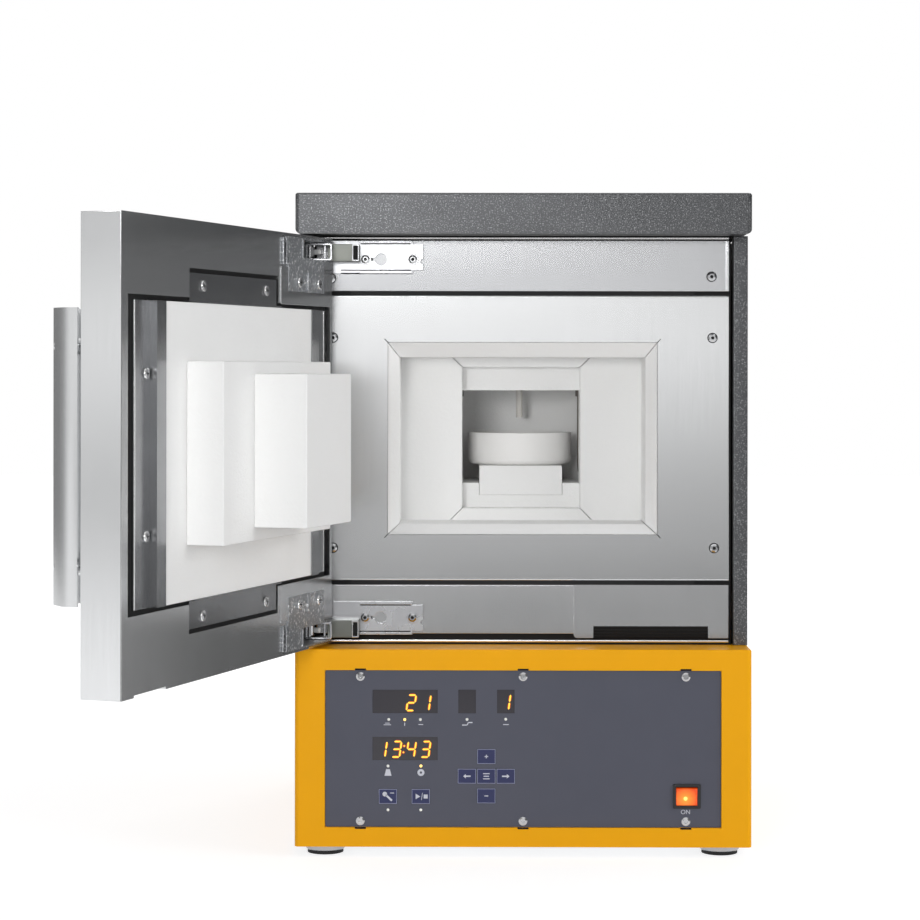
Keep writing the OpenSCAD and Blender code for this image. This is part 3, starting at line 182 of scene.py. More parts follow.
def rgb(red, green, blue):
    # A colour as a screen shows it, from 0 to 255, made linear
    parts = [v / 255 for v in (red, green, blue)]
    return tuple(v / 12.92 if v <= 0.04045 else ((v + 0.055) / 1.055) ** 2.4 for v in parts) + (1.0,)


def dimmed(colour, share):
    # The same colour with only a share of its light
    return tuple(v * share for v in colour[:3]) + (1.0,)


FLOAT, VECTOR = "NodeSocketFloat", "NodeSocketVector"

# %% [markdown]
# ## Shared effects
#
# **Brushing** is a very stretched noise, fine in two directions and long in the third, like scratches.
# **Peel** is the skin of powder paint: low rounded bumps a few millimetres wide, with finer grit on top.
# **Handling** is what years of use leave: faint cloudy smears that change the gloss, not the colour.
# **Fibre** is the surface of a vacuum-formed board: soft lumps, pits and short threads.

# %% Brushing group
brushing, given, made = group(
    "Brushing",
    [("Stretch", VECTOR, (900.0, 900.0, 14.0)), ("Contrast", FLOAT, 1.0)],
    [("Height", FLOAT), ("Tone", FLOAT)],
)
stretched = stretch_by(brushing, object_place(brushing), given["Stretch"])
fine = noise(brushing, stretched, 1.0, 3.0, 0.6)
broad = noise(brushing, stretch_by(brushing, stretched, (0.22, 0.22, 0.5)), 1.0)
both = blended(brushing, fine, 0.6, broad)
brushing.links.new(both, made["Height"])
centred = calc(brushing, "MULTIPLY", calc(brushing, "SUBTRACT", both, 0.5), given["Contrast"])
brushing.links.new(calc(brushing, "ADD", centred, 0.5), made["Tone"])

# %% Peel group
peel, given, made = group(
    "Peel",
    [("Size", FLOAT, 420.0), ("Grit", FLOAT, 0.3)],
    [("Height", FLOAT), ("Fleck", FLOAT)],
)
place = object_place(peel)
lumps = noise(peel, place, given["Size"])
grit = noise(peel, place, calc(peel, "MULTIPLY", given["Size"], 4.3), 1.0)
peel.links.new(calc(peel, "ADD", lumps, calc(peel, "MULTIPLY", grit, given["Grit"])), made["Height"])
peel.links.new(spread(peel, grit, 0.55, 0.72, 0.0, 1.0), made["Fleck"])

# %% Handling group
handling, given, made = group("Handling", [("Size", FLOAT, 9.0)], [("Smear", FLOAT)])
place = object_place(handling)
cloud = noise(handling, place, given["Size"], 3.0, 0.6)
fine_cloud = noise(handling, place, calc(handling, "MULTIPLY", given["Size"], 7.0))
total = blended(handling, cloud, 0.7, fine_cloud)
handling.links.new(spread(handling, total, 0.36, 0.66, 0.0, 1.0), made["Smear"])

# %% Fibre group
fibre, given, made = group(
    "Fibre",
    [("Size", FLOAT, 260.0), ("Pits", FLOAT, 0.5)],
    [("Height", FLOAT), ("Tone", FLOAT)],
)
place = object_place(fibre)
soft = noise(fibre, place, given["Size"], 4.0, 0.62)
cell_scale = calc(fibre, "MULTIPLY", given["Size"], 1.7)
cells = add(fibre, "ShaderNodeTexVoronoi", {"Vector": place, "Scale": cell_scale})
pit = calc(fibre, "MULTIPLY", spread(fibre, cells.outputs[0], 0.0, 0.22, 1.0, 0.0), given["Pits"])
fibre.links.new(calc(fibre, "SUBTRACT", soft, pit), made["Height"])
fibre.links.new(noise(fibre, place, 14.0, 3.0), made["Tone"])
print("node groups:", [g.name for g in bpy.data.node_groups])


# %% [markdown]
# ## Finishes
#
# Each finish is a Principled shader with its colour, roughness and normal driven by the groups above.
# Values that are the same all over the surface stay on the shader's own sockets. Every finish is entered in
# one list by its name, and pieces pick theirs from it.

# %% Finish helpers
FINISH = {}


def material(name):
    FINISH[name] = bpy.data.materials.new(name)
    FINISH[name].use_nodes = True
    tree = FINISH[name].node_tree
    return tree, tree.nodes["Principled BSDF"]


def use(tree, shared, **sockets):
    node = add(tree, "ShaderNodeGroup")
    node.node_tree = shared
    for name, value in sockets.items():
        node.inputs[name].default_value = value
    return node.outputs


def bump(tree, height, distance):
    return add(tree, "ShaderNodeBump", {"Strength": 1.0, "Distance": distance, "Height": height}).outputs[0]


def metal(name, colour, rough, stretch=None, streak=0.12, depth=0.0, smear=0.08, anisotropy=0.0):
    tree, shader = material(name)
    shader.inputs["Metallic"].default_value = 1.0
    smears = use(tree, handling, Size=11.0)["Smear"]
    roughness = spread(tree, smears, 0.0, 1.0, rough - smear / 2, rough + smear / 2)
    if stretch:
        lines = use(tree, brushing, Stretch=stretch, Contrast=1.6)
        base = mixed(tree, lines["Tone"], dimmed(colour, 1 - streak), colour)
        line_rough = spread(tree, lines["Tone"], 0.0, 1.0, 0.03, -0.03)
        roughness = calc(tree, "ADD", roughness, line_rough)
        if depth:
            tree.links.new(bump(tree, lines["Height"], depth), shader.inputs["Normal"])
        shader.inputs["Anisotropic"].default_value = anisotropy
        around = add(tree, "ShaderNodeTangent", direction_type="RADIAL", axis="Z")
        tree.links.new(around.outputs[0], shader.inputs["Tangent"])
    else:
        base = mixed(tree, smears, colour, dimmed(colour, 0.86))
    tree.links.new(base, shader.inputs["Base Color"])
    tree.links.new(roughness, shader.inputs["Roughness"])


def paint(name, colour, rough, size, grit, depth, fleck=None, tone=0.06, sheen=0.5, metallic=0.0):
    tree, shader = material(name)
    shader.inputs["Metallic"].default_value = metallic
    shader.inputs["Specular IOR Level"].default_value = sheen
    skin = use(tree, peel, Size=size, Grit=grit)
    smears = use(tree, handling, Size=7.0)["Smear"]
    base = mixed(tree, smears, colour, dimmed(colour, 1 - tone))
    if fleck:
        base = mixed(tree, skin["Fleck"], base, fleck)
    tree.links.new(base, shader.inputs["Base Color"])
    tree.links.new(spread(tree, smears, 0.0, 1.0, rough - 0.04, rough + 0.06), shader.inputs["Roughness"])
    tree.links.new(bump(tree, skin["Height"], depth), shader.inputs["Normal"])


def board_finish(name, colour, size, depth, pits=0.5, rough=0.9):
    tree, shader = material(name)
    threads = use(tree, fibre, Size=size, Pits=pits)
    roughness = spread(tree, threads["Height"], 0.0, 1.0, rough + 0.08, rough - 0.08)
    base = mixed(tree, threads["Tone"], dimmed(colour, 0.955), colour)
    tree.links.new(base, shader.inputs["Base Color"])
    tree.links.new(roughness, shader.inputs["Roughness"])
    tree.links.new(bump(tree, threads["Height"], depth), shader.inputs["Normal"])


def glow(name, colour, strength):
    tree, shader = material(name)
    smears = use(tree, handling, Size=160.0)["Smear"]
    shade = mixed(tree, smears, colour, dimmed(colour, 0.82))
    tree.links.new(shade, shader.inputs["Base Color"])
    tree.links.new(shade, shader.inputs["Emission Color"])
    shader.inputs["Emission Strength"].default_value = strength
    shader.inputs["Roughness"].default_value = 0.4


# %% [markdown]
# The rocker is clear orange plastic with a small lamp behind it. Its glow is brightest in a spot and falls
# off to a deep red at the cap's border, so the colour follows the distance from the lamp's place.

# %% Lit rocker
def lit_cap(name, lamp_place):
    tree, shader = material(name)
    sockets = {0: object_place(tree), 1: lamp_place}
    apart = add(tree, "ShaderNodeVectorMath", sockets, operation="DISTANCE").outputs["Value"]
    body = mixed(tree, spread(tree, apart, 0.002, 0.0105, 0.0, 1.0), rgb(255, 142, 48), rgb(216, 70, 14))
    spot = spread(tree, apart, 0.0009, 0.0022, 1.0, 0.0)
    shade = mixed(tree, spot, body, rgb(255, 226, 118))
    strength = calc(tree, "ADD", calc(tree, "MULTIPLY", spot, 0.5), 0.55)
    tree.links.new(shade, shader.inputs["Base Color"])
    tree.links.new(shade, shader.inputs["Emission Color"])
    tree.links.new(strength, shader.inputs["Emission Strength"])
    shader.inputs["Roughness"].default_value = 0.22


# %% [markdown]
# The paints come first. The orange base has a fine orange-peel skin with a satin gloss. The casing and the
# lid have a coarser structured paint, whose tiny raised grains have their glints painted as pale flecks.

# %% Paints
paint("orange_powder", rgb(255, 180, 2), rough=0.38, size=480.0, grit=0.35, depth=0.00008, tone=0.04,
      sheen=0.22)
# The pale flecks are painted glints of the paint's raised grains
paint("grey_powder", rgb(92, 93, 95), rough=0.37, size=205.0, grit=1.1, depth=0.00012,
      fleck=rgb(150, 151, 153), tone=0.03, metallic=0.75)
paint("panel_foil", rgb(78, 80, 93), rough=0.5, size=1500.0, grit=0.5, depth=0.00002, tone=0.05)
paint("key_foil", rgb(38, 44, 88), rough=0.38, size=1300.0, grit=0.5, depth=0.00002, tone=0.12)
paint("black_plastic", rgb(28, 28, 30), rough=0.42, size=1200.0, grit=0.5, depth=0.00003)
paint("foot_rubber", rgb(26, 26, 27), rough=0.72, size=700.0, grit=0.6, depth=0.00006)
paint("black_steel", rgb(16, 16, 17), rough=0.55, size=520.0, grit=0.4, depth=0.00006, sheen=0.25)
paint("lens", rgb(60, 58, 64), rough=0.2, size=900.0, grit=0.3, depth=0.00001, tone=0.1)

# %% [markdown]
# The stainless sheets are brushed upright, as the faint streaks on the real rails show. The strips and
# brackets of the door are a darker steel, painted shade for the dim reflection they show, and folded edges
# take a near-white metal, a painted highlight. Zinc comes in three kinds: bright on the mounting plates,
# darker on the arms as painted shade, with their forks in the bright zinc as painted highlight, and
# spangled on the cups, whose crystals have their glints painted as white flecks.

# %% Metals
SHEET_GRAIN = (1500.0, 1500.0, 24.0)
metal("stainless", rgb(219, 220, 221), rough=0.24, stretch=SHEET_GRAIN, streak=0.035, smear=0.02,
      anisotropy=0.75)
# A darker steel than the sheets, at the same roughness: painted shade for the dim reflection of the strips
metal("dull_strip", rgb(172, 173, 175), rough=0.24, smear=0.03)
metal("rail_steel", rgb(192, 193, 195), rough=0.24, stretch=SHEET_GRAIN, streak=0.04, smear=0.02,
      anisotropy=0.75)
# The white flecks are painted glints of the zinc's crystals
paint("spangle_zinc", rgb(184, 187, 191), rough=0.26, size=95.0, grit=0.6, depth=0.0011,
      fleck=rgb(255, 255, 255), tone=0.25, metallic=0.7)
metal("zinc_sheet", rgb(178, 181, 186), rough=0.38, smear=0.2)
metal("hinge_zinc", rgb(212, 213, 216), rough=0.26, smear=0.14)
# Darker zinc for the arms, painted shade beside their forks, which take the bright zinc as painted highlight
metal("arm_zinc", rgb(124, 126, 121), rough=0.34, smear=0.1)
# Near-white metal for folds, lips and screw heads: a painted highlight on top of the glint of their radii
metal("bright_edge", rgb(252, 252, 252), rough=0.22, smear=0.06)
paint("roller", rgb(246, 246, 244), rough=0.3, size=700.0, grit=0.3, depth=0.00002)
# A dark sheet finish: on the inner box it is painted shade in the front's gaps
metal("gap_shade_sheet", rgb(58, 57, 60), rough=0.5, smear=0.12)
metal("screw_steel", rgb(200, 201, 203), rough=0.22, smear=0.12)
metal("foot_metal", rgb(176, 177, 180), rough=0.16, smear=0.1)
metal("iron_core", rgb(92, 92, 96), rough=0.5, stretch=(40.0, 2200.0, 40.0), depth=0.0001)
metal("heatsink", rgb(176, 178, 180), rough=0.42, smear=0.14)

# %% [markdown]
# The ceramics are matt. Fibre board is nearly white with a soft, slightly threaded skin, and the bowl is
# denser, smoother and a little warmer.

# %% Ceramics, lamps and the board
ROCKER_LAMP = (0.1385, FRONT + 0.0005, 0.0506)
board_finish("fibre_board", rgb(250, 250, 249), size=420.0, depth=0.00035)
board_finish("bowl_ceramic", rgb(251, 250, 248), size=900.0, depth=0.00005, pits=0.1, rough=0.5)
board_finish("element", rgb(120, 112, 106), size=800.0, depth=0.00008, pits=0.2, rough=0.45)
board_finish("terminal", rgb(216, 210, 196), size=600.0, depth=0.0001, pits=0.2, rough=0.6)
board_finish("probe", rgb(238, 235, 229), size=800.0, depth=0.00005, pits=0.1, rough=0.45)
paint("board", rgb(20, 92, 58), rough=0.3, size=900.0, grit=0.3, depth=0.00003)
# The unlit lamps glow faintly: painted light in lenses that are not lit
glow("lamp", rgb(236, 236, 230), strength=0.25)
glow("lamp_lit", rgb(255, 214, 120), strength=1.6)
lit_cap("rocker_plastic", ROCKER_LAMP)
glow("digit", rgb(255, 196, 66), strength=1.15)
glow("digit_halo", rgb(176, 66, 18), strength=0.5)
paint("print_white", rgb(214, 216, 226), rough=0.5, size=1500.0, grit=0.4, depth=0.00001)
paint("print_pale", rgb(150, 154, 184), rough=0.5, size=1500.0, grit=0.4, depth=0.00001)
print(len(FINISH), "finishes")

# %% [markdown]
# Every CAD solid takes the finish of its own slot in the record. Those that are shown as better pieces
# below are hidden by then.

# %% Dress the CAD solids
SLOT_OF = {row["node"]: row["material_slot"] for row in frame["record"]["subparts"]}
for node, solid in frame["nodes"].items():
    solid.data.materials.clear()
    solid.data.materials.append(FINISH[SLOT_OF[node]])
# The inner box's edge shows in the gaps of the front, and a dark finish on it is painted shade in these gaps
frame["nodes"]["inner_box"].data.materials[0] = FINISH["gap_shade_sheet"]
print("dressed", len(SLOT_OF), "solids")


# %% [markdown]
# ## Helpers for modelling
#
# Operators act on what is selected, so each step starts by choosing one object. A finished piece has its
# place in its mesh, rides on a body of the model and names the slot of its finish.

# %% Modelling helpers
def choose_nothing():
    if bpy.context.mode != "OBJECT":
        bpy.ops.object.mode_set(mode="OBJECT")
    bpy.ops.object.select_all(action="DESELECT")


def active():
    # What the last operator made or joined
    return bpy.context.view_layer.objects.active


def choose(*pieces):
    choose_nothing()
    for piece in pieces:
        piece.select_set(True)
    bpy.context.view_layer.objects.active = pieces[0]


def keep(piece, name, body, finish, stands_for=(), angle=35):
    choose(piece)
    bpy.ops.object.transform_apply(location=True, rotation=True, scale=True)
    piece.name = name
    piece.data.name = name
    piece.data.materials.clear()
    piece.data.materials.append(FINISH[finish])
    if angle:
        bpy.ops.object.shade_smooth_by_angle(angle=math.radians(angle))
        # Large flats keep their own direction, so that only the small radii bend a reflection
        bpy.ops.object.modifier_add(type="WEIGHTED_NORMAL")
        piece.modifiers[-1].keep_sharp = True
        bpy.ops.object.modifier_apply(modifier=piece.modifiers[-1].name)
    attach(piece, body)
    if stands_for:
        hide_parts(*stands_for)
    return piece


def moved(piece, matrix):
    piece.data.transform(matrix)
    piece.data.update()
    return piece


def joined(pieces):
    choose(*pieces)
    if len(pieces) > 1:
        bpy.ops.object.join()
    return active()


# %% [markdown]
# Folded sheet metal never has a razor edge. A copy of a CAD solid is merged into one skin, its flat faces
# are made whole, and the edges that a rule picks by their place are rounded with the bevel operator. The
# highlights on these small radii are what make a render read as sheet metal.

# %% Rounded copies of CAD solids
# Two places closer than this, in metres, count as one
NEAR = 1e-4


def skin_copy(node, matrix=None):
    copy = new_object(node + "_copy", frame["nodes"][node].data.copy())
    if matrix is not None:
        copy.data.transform(matrix)
    choose(copy)
    bpy.ops.object.mode_set(mode="EDIT")
    bpy.ops.mesh.select_all(action="SELECT")
    bpy.ops.mesh.remove_doubles(threshold=0.000004)
    bpy.ops.mesh.dissolve_limited(angle_limit=math.radians(0.6))
    bpy.ops.object.mode_set(mode="OBJECT")
    return copy


def soften(piece, width, segments, rule=None, sharp=40):
    # Only edges that turn by more than the sharp angle are rounded, and of these the ones that the rule picks
    choose(piece)
    bpy.ops.object.mode_set(mode="EDIT")
    bpy.ops.mesh.select_mode(type="EDGE")
    bpy.ops.mesh.select_all(action="DESELECT")
    work = bmesh.from_edit_mesh(piece.data)
    picked = 0
    for edge in work.edges:
        if len(edge.link_faces) != 2 or edge.calc_face_angle(0) < math.radians(sharp):
            continue
        ends = [vert.co for vert in edge.verts]
        if rule is None or rule(ends[0], ends[1]):
            edge.select = True
            picked += 1
    bmesh.update_edit_mesh(piece.data)
    if picked:
        bpy.ops.mesh.bevel(offset=width * MM, segments=segments, profile=0.5, clamp_overlap=True)
    bpy.ops.object.mode_set(mode="OBJECT")
    return picked


# %% [markdown]
# ## Casing, lid and base
#
# The lid is a deep tray with small radii along its front and top edges. The base is folded from one sheet
# round a window, and the window's edge is rounded less than the outside. The casing's two sides show only
# their folded front flanges from here.

# %% Lid
lid = skin_copy("lid")
LID_LOW, LID_TOP = 532 * MM, 567 * MM
outer = soften(lid, 1.8, 4, lambda p, q: max(abs(p.x), abs(q.x)) > 0.1 and min(p.z, q.z) > LID_TOP - 0.004)
outer += soften(lid, 0.8, 2, lambda p, q: max(p.z, q.z) < LID_LOW + 0.0001 and min(p.y, q.y) < FRONT + 0.004)
print("lid edges rounded:", outer)
for vert in lid.data.vertices:
    # The rounding may not lift a corner above the sheet
    vert.co.z = min(vert.co.z, LID_TOP)
keep(lid, "lid_cover", "furnace_body", "grey_powder", stands_for=["lid"])

# %% Base
base = skin_copy("base_housing")
BASE_TOP = 177.5 * MM
outer = soften(base, 1.6, 4, lambda p, q: min(p.z, q.z) > BASE_TOP - 0.0001)
outer += soften(base, 0.7, 2, lambda p, q: max(p.y, q.y) < FRONT + 0.0001)
print("base edges rounded:", outer)
keep(base, "base_cover", "furnace_body", "orange_powder", stands_for=["base_housing"])

# %% Sides
for side in ("left_side_panel", "right_side_panel"):
    panel = skin_copy(side)
    front_plane = min(v.co.y for v in panel.data.vertices)
    soften(panel, 1.3, 3, lambda p, q, y=front_plane: abs(p.y - y) < NEAR and abs(q.y - y) < NEAR)
    keep(panel, side.replace("_panel", "_sheet"), "furnace_body", "grey_powder", stands_for=[side])

# %% [markdown]
# The stainless sheets of the front have softly folded edges that catch light above and go dark below. Only
# the edges in their front plane are rounded.

# %% Stainless front
for node, radius in (("hinge_rail", 1.2), ("front_plate", 1.3), ("sill_rail", 1.2), ("magnet_cover", 2.4)):
    sheet = skin_copy(node)
    box_low, box_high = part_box(node)

    def outline_edge(p, q, low=box_low, high=box_high):
        # Along the sheet's outline, not round its holes
        for axis in (0, 2):
            for value in (low[axis], high[axis]):
                if abs(p[axis] - value) < NEAR and abs(q[axis] - value) < NEAR:
                    return max(p.y, q.y) < low.y + 0.0012
        return False

    soften(sheet, radius, 3, outline_edge)
    finish = "rail_steel" if node == "hinge_rail" else "stainless"
    keep(sheet, node + "_sheet", "furnace_body", finish, stands_for=[node])

# %% [markdown]
# Two thin bright lips show where the casing's inner steel sheet is folded out: one under the lid, one under
# the sill. Each is a bar with rounded edges, so that it glints like a folded edge, and its near-white metal
# paints that highlight brighter. A helper makes such bars, because the hinges need several more of them.
# Two flat black sheets behind the gaps between the front's sheets are painted shade in these gaps.

# %% Rounded bars
def rounded_bar(x_span, depth_span, z_span, radius, segments=2):
    low, high = at(x_span[0], depth_span[0], z_span[0]), at(x_span[1], depth_span[1], z_span[1])
    choose_nothing()
    bpy.ops.mesh.primitive_cube_add(size=1, location=(low + high) / 2, scale=high - low)
    piece = active()
    bpy.ops.object.transform_apply(location=True, rotation=True, scale=True)
    soften(piece, radius, segments)
    return piece


LIP_SPAN, LIP_DEPTHS, LIP_RISES = (-176, 179), (37.4, 40), ((529.3, 531.7), (179.2, 181.6))
# Black sheets behind the front's gaps are painted shade in them
GAP_SHADE_SPAN, GAP_SHADE_DEPTHS, GAP_SHADE_RISES = (-178, 178), (40.72, 40.86), ((480.2, 484.8), (228.8, 233.2))
lips = [rounded_bar(LIP_SPAN, LIP_DEPTHS, rise, 0.7) for rise in LIP_RISES]
keep(joined(lips), "casing_lips", "furnace_body", "bright_edge")
gap_shades = [rounded_bar(GAP_SHADE_SPAN, GAP_SHADE_DEPTHS, rise, 0.03, 1) for rise in GAP_SHADE_RISES]
keep(joined(gap_shades), "front_gap_shades", "furnace_body", "foot_rubber")
print("lips of the casing:", len(lips), "seals:", len(gap_shades))

# %% [markdown]
# ## Fibre boards
#
# The boards are cut from soft ceramic fibre, whose edges are never quite straight; here they are only rounded
# slightly.

# %% Boards
for node, radius in (
    ("mouth_boards", 0.35), ("throat_boards", 0.5), ("chamber_floor", 0.5), ("chamber_wall", 0.5),
    ("chamber_roof", 0.5), ("pedestal", 0.6),
):
    block = skin_copy(node)
    soften(block, radius, 2)
    keep(block, node + "_cut", "furnace_body", "fibre_board", stands_for=[node])

# %% [markdown]
# ## Door
#
# The door's pieces are turned back to the closed place, rounded there and swung open again. Its pan has a
# generous fold along the free edge.

# %% Door pan and its fittings
CLOSED = SWING.inverted()
DOOR_HALF = 195 * MM - NEAR
for node, radius, segments in (
    ("door_shell", 1.1, 3), ("slab_retainers", 0.6, 2), ("slab_brackets", 0.35, 2), ("door_handle", 0.6, 2),
):
    part = skin_copy(node, CLOSED)
    if node == "door_shell":
        soften(part, radius, segments, lambda p, q: min(abs(p.x), abs(q.x)) > DOOR_HALF and p.x * q.x > 0)
    else:
        soften(part, radius, segments)
    moved(part, SWING)
    finish = "dull_strip" if node in ("slab_retainers", "slab_brackets") else "stainless"
    keep(part, node + "_sheet", "door", finish, stands_for=[node])

for node, radius in (("door_slab", 0.7), ("plug_step", 0.9), ("plug_nose", 0.9)):
    block = skin_copy(node, CLOSED)
    soften(block, radius, 3)
    moved(block, SWING)
    keep(block, node + "_cut", "door", "fibre_board", stands_for=[node])


# %% [markdown]
# ## Printed and lit marks
#
# Marks are flat curves: closed outlines filled on both sides, with inner outlines left open, given a hair
# of thickness and then made a mesh. They are drawn as seen from the front and turned upright, so one helper
# makes digits, key frames, arrows and symbols alike.

# %% Flat drawings
def drawn(outlines, thick, depth, round_edge=0.0):
    curve = bpy.data.curves.new("drawing", "CURVE")
    curve.dimensions = "2D"
    curve.fill_mode = "BOTH"
    curve.extrude = (thick / 2 - round_edge) * MM
    curve.bevel_depth = round_edge * MM
    curve.bevel_resolution = 2
    curve.offset = -round_edge * MM
    for points in outlines:
        spline = curve.splines.new("POLY")
        spline.points.add(len(points) - 1)
        for point, (x, z) in zip(spline.points, points):
            point.co = (x * MM, z * MM, 0, 1)
        spline.use_cyclic_u = True
    choose(new_object("drawing", curve))
    bpy.ops.object.convert(target="MESH")
    piece = active()
    # The drawing lies flat: it is stood up with its face to the viewer, its front at the given depth
    return moved(piece, Matrix.Translation((0, FRONT + (depth + thick / 2) * MM, 0)) @ UPRIGHT)


def rectangle(x, z, w, h):
    return [(x - w / 2, z - h / 2), (x + w / 2, z - h / 2), (x + w / 2, z + h / 2), (x - w / 2, z + h / 2)]


def ring(x, z, radius, count=24):
    turns = [2 * math.pi / count * i for i in range(count)]
    return [(x + radius * math.cos(turn), z + radius * math.sin(turn)) for turn in turns]


def bar(x0, z0, x1, z1, width):
    along = Vector((x1 - x0, z1 - z0)).normalized() * (width / 2)
    across = Vector((-along.y, along.x))
    corners = [(x0, z0, across), (x1, z1, across), (x1, z1, -across), (x0, z0, -across)]
    return [(x + side.x, z + side.y) for x, z, side in reversed(corners)]


# The thickness of a print, in millimetres
PRINT = 0.05

# %% [markdown]
# ## Hinges
#
# The two concealed hinges are the busiest spot of the furnace. Each has a stamped mounting plate with beads
# along its edges and a keyhole, a channel arm whose fork reaches round the pin, a cup sunk in the door with
# rollers between posts, and a wing that two cross-headed screws hold. The CAD solids give the plates, arms
# and cups their sizes. Here their edges are rounded, and the parts that make them read as a real hinge are
# added.

# %% Hinge helpers
ARM_Z = (517.0, 191.9)
PLATE_Z = (513.7, 200.2)
# How far behind the front plane the plates' stamped rings, beads, screw rims and screw tops lie
STAMP, BEAD, RIM, SCREW_TOP = 36.1, 36.6, 36.75, 34.8
PLATE_SCREWS = [(-136.6, 511.7), (-95.5, 511.7), (-136.6, 200.8), (-95.5, 200.8)]


def round_corners(x0, x1, z0, z1, radius):
    points = []
    for cx, cz, turn in ((x1 - radius, z1 - radius, 0), (x0 + radius, z1 - radius, 90),
                         (x0 + radius, z0 + radius, 180), (x1 - radius, z0 + radius, 270)):
        for step in range(5):
            a = math.radians(turn + 90 * step / 4)
            points.append((cx + radius * math.cos(a), cz + radius * math.sin(a)))
    return points


def about(z, outline):
    # An outline that reaches as far above a height as below it
    x0, x1, reach, radius = outline
    return round_corners(x0, x1, z - reach, z + reach, radius)


def rod(start, end, radius, round_edge):
    # A short round bar from one place to another, with softened ends
    along = Vector(end) - Vector(start)
    choose_nothing()
    bpy.ops.mesh.primitive_cylinder_add(vertices=20, radius=radius * MM, depth=along.length)
    piece = active()
    turn = along.to_track_quat("Z", "Y").to_matrix().to_4x4()
    moved(piece, Matrix.Translation((Vector(start) + Vector(end)) / 2) @ turn)
    soften(piece, round_edge, 2, sharp=50)
    return piece


# %% Mounting plates
plates = skin_copy("hinge_plates")
soften(plates, 0.4, 2)
rings = [plates]
for x, z in PLATE_SCREWS:
    rings.append(drawn([ring(x, z, 5.0), ring(x, z, 3.5)], 0.9, STAMP, 0.3))
keep(joined(rings), "hinge_plates_stamped", "furnace_body", "hinge_zinc", stands_for=["hinge_plates"])

# %% Painted shade lines of the plates
# Thin black lines along the beads, rings round the screws and discs on the screw tops are painted shade
lines = []
for z in PLATE_Z:
    for x0, x1, edge in ((-140.8, -97.0, 11.4), (-158.0, -97.0, -11.4), (-158.0, -97.0, -14.1)):
        lines.append(drawn([rectangle((x0 + x1) / 2, z + edge, x1 - x0, 0.9)], PRINT, BEAD))
for x, z in PLATE_SCREWS:
    lines.append(drawn([ring(x, z, 2.1)], PRINT, SCREW_TOP))
    lines.append(drawn([ring(x, z, 6.2), ring(x, z, 5.5)], PRINT, RIM))
keep(joined(lines), "hinge_plate_shade_lines", "furnace_body", "black_steel", angle=0)

# %% Arms with their forks
arms = skin_copy("hinge_arms")
soften(arms, 0.45, 2)
keep(arms, "hinge_arms_folded", "furnace_body", "arm_zinc", stands_for=["hinge_arms"])
# Each outline is its left and right end, its reach up and down, and the radius of its corners
FORK_OUTSIDE, FORK_INSIDE = (-187.0, -164.0, 7.5, 2.2), (-185.2, -165.8, 5.6, 1.2)
END_OUTSIDE, END_INSIDE = (-147.6, -141.5, 7.4, 0.8), (-146.4, -142.7, 6.0, 0.5)
folds = []
for z in ARM_Z:
    folds.append(drawn([about(z, FORK_OUTSIDE), about(z, FORK_INSIDE)], 1.4, 11.6, 0.45))
    # The fork's sides run back to the arm's face, with a cross bar between them
    for side in (-6.75, 6.75):
        folds.append(rounded_bar((-170.5, -164.5), (12.4, 26.4), (z + side - 0.75, z + side + 0.75), 0.3))
    folds.append(rounded_bar((-171.6, -169.6), (18.0, 19.6), (z - 6.4, z + 6.4), 0.5))
    # A raised rim closes the arm's end over the plate
    folds.append(drawn([about(z, END_OUTSIDE), about(z, END_INSIDE)], 1.2, 24.2, 0.4))
# The fork, its sides and bar and the arm's rim take the bright plate zinc, a painted highlight on the arm's
# folds
keep(joined(folds), "hinge_forks", "furnace_body", "hinge_zinc")
# A black sheet inside each arm's rim is painted shade in its hollow end
end_shades = [drawn([about(z, END_INSIDE)], 0.1, 24.95) for z in ARM_Z]
keep(joined(end_shades), "hinge_arm_end_shades", "furnace_body", "black_steel", angle=0)

# %% Cups, wings and rollers on the door
CUP_FACE = 32.5
WING_SCREWS = [(-119.4, 488.3), (-160.8, 488.3), (-119.4, 220.6), (-160.8, 220.6)]


def proud(height, sunk=0.0):
    # The depths between which a piece stands out of the door's inner face
    return CUP_FACE - sunk, CUP_FACE + height


cups = skin_copy("hinge_cups", CLOSED)
soften(cups, 0.35, 2)
bits = [cups]
rollers = []
for z, way in zip(ARM_Z, (-1, 1)):
    ends = (z - 14.5, z + 7.5) if way < 0 else (z - 7.4, z + 13.5)
    for x in (-87.4, -94.0):
        bits.append(rounded_bar((x - 0.8, x + 0.8), proud(1.9), ends, 0.5))
    # The pocket's inner half is closed by a pressed cover
    bits.append(rounded_bar((-133.4, -94.6), proud(0.3, sunk=2.0), (z - 8.6, z + 8.6), 0.6))
    bits.append(rounded_bar((-131.4, -128.6), proud(1.2), (z - 7.4, z + 7.4), 0.5))
    for low in (z - 4.6, z + 2.6):
        bits.append(rounded_bar((-118.0, -99.0), proud(1.0), (low, low + 2.0), 0.4))
    # A stiffening bead runs up the wing between its screws
    bead = about(z + way * 28.0, (-143.0, -137.2, 8.4, 2.4))
    bits.append(drawn([bead], 2.0, CUP_FACE + 0.5, 0.6))
    # One roller lies between two posts, a shorter one stands by the pin
    rollers.append(rod(at(-137.6, 20.9, z), at(-150.4, 20.9, z), 2.4, 0.5))
    for x in (-136.6, -151.4):
        bits.append(rounded_bar((x - 0.8, x + 0.8), (8.6, 22.4), (z - 1.8, z + 1.8), 0.3))
    rollers.append(rod(at(-185.2, 19.4, z), at(-185.2, 25.2, z), 2.3, 0.5))
cup_work = moved(joined(bits), SWING)
keep(cup_work, "hinge_cups_folded", "door", "spangle_zinc", stands_for=["hinge_cups"])
keep(moved(joined(rollers), SWING), "hinge_rollers", "door", "roller")


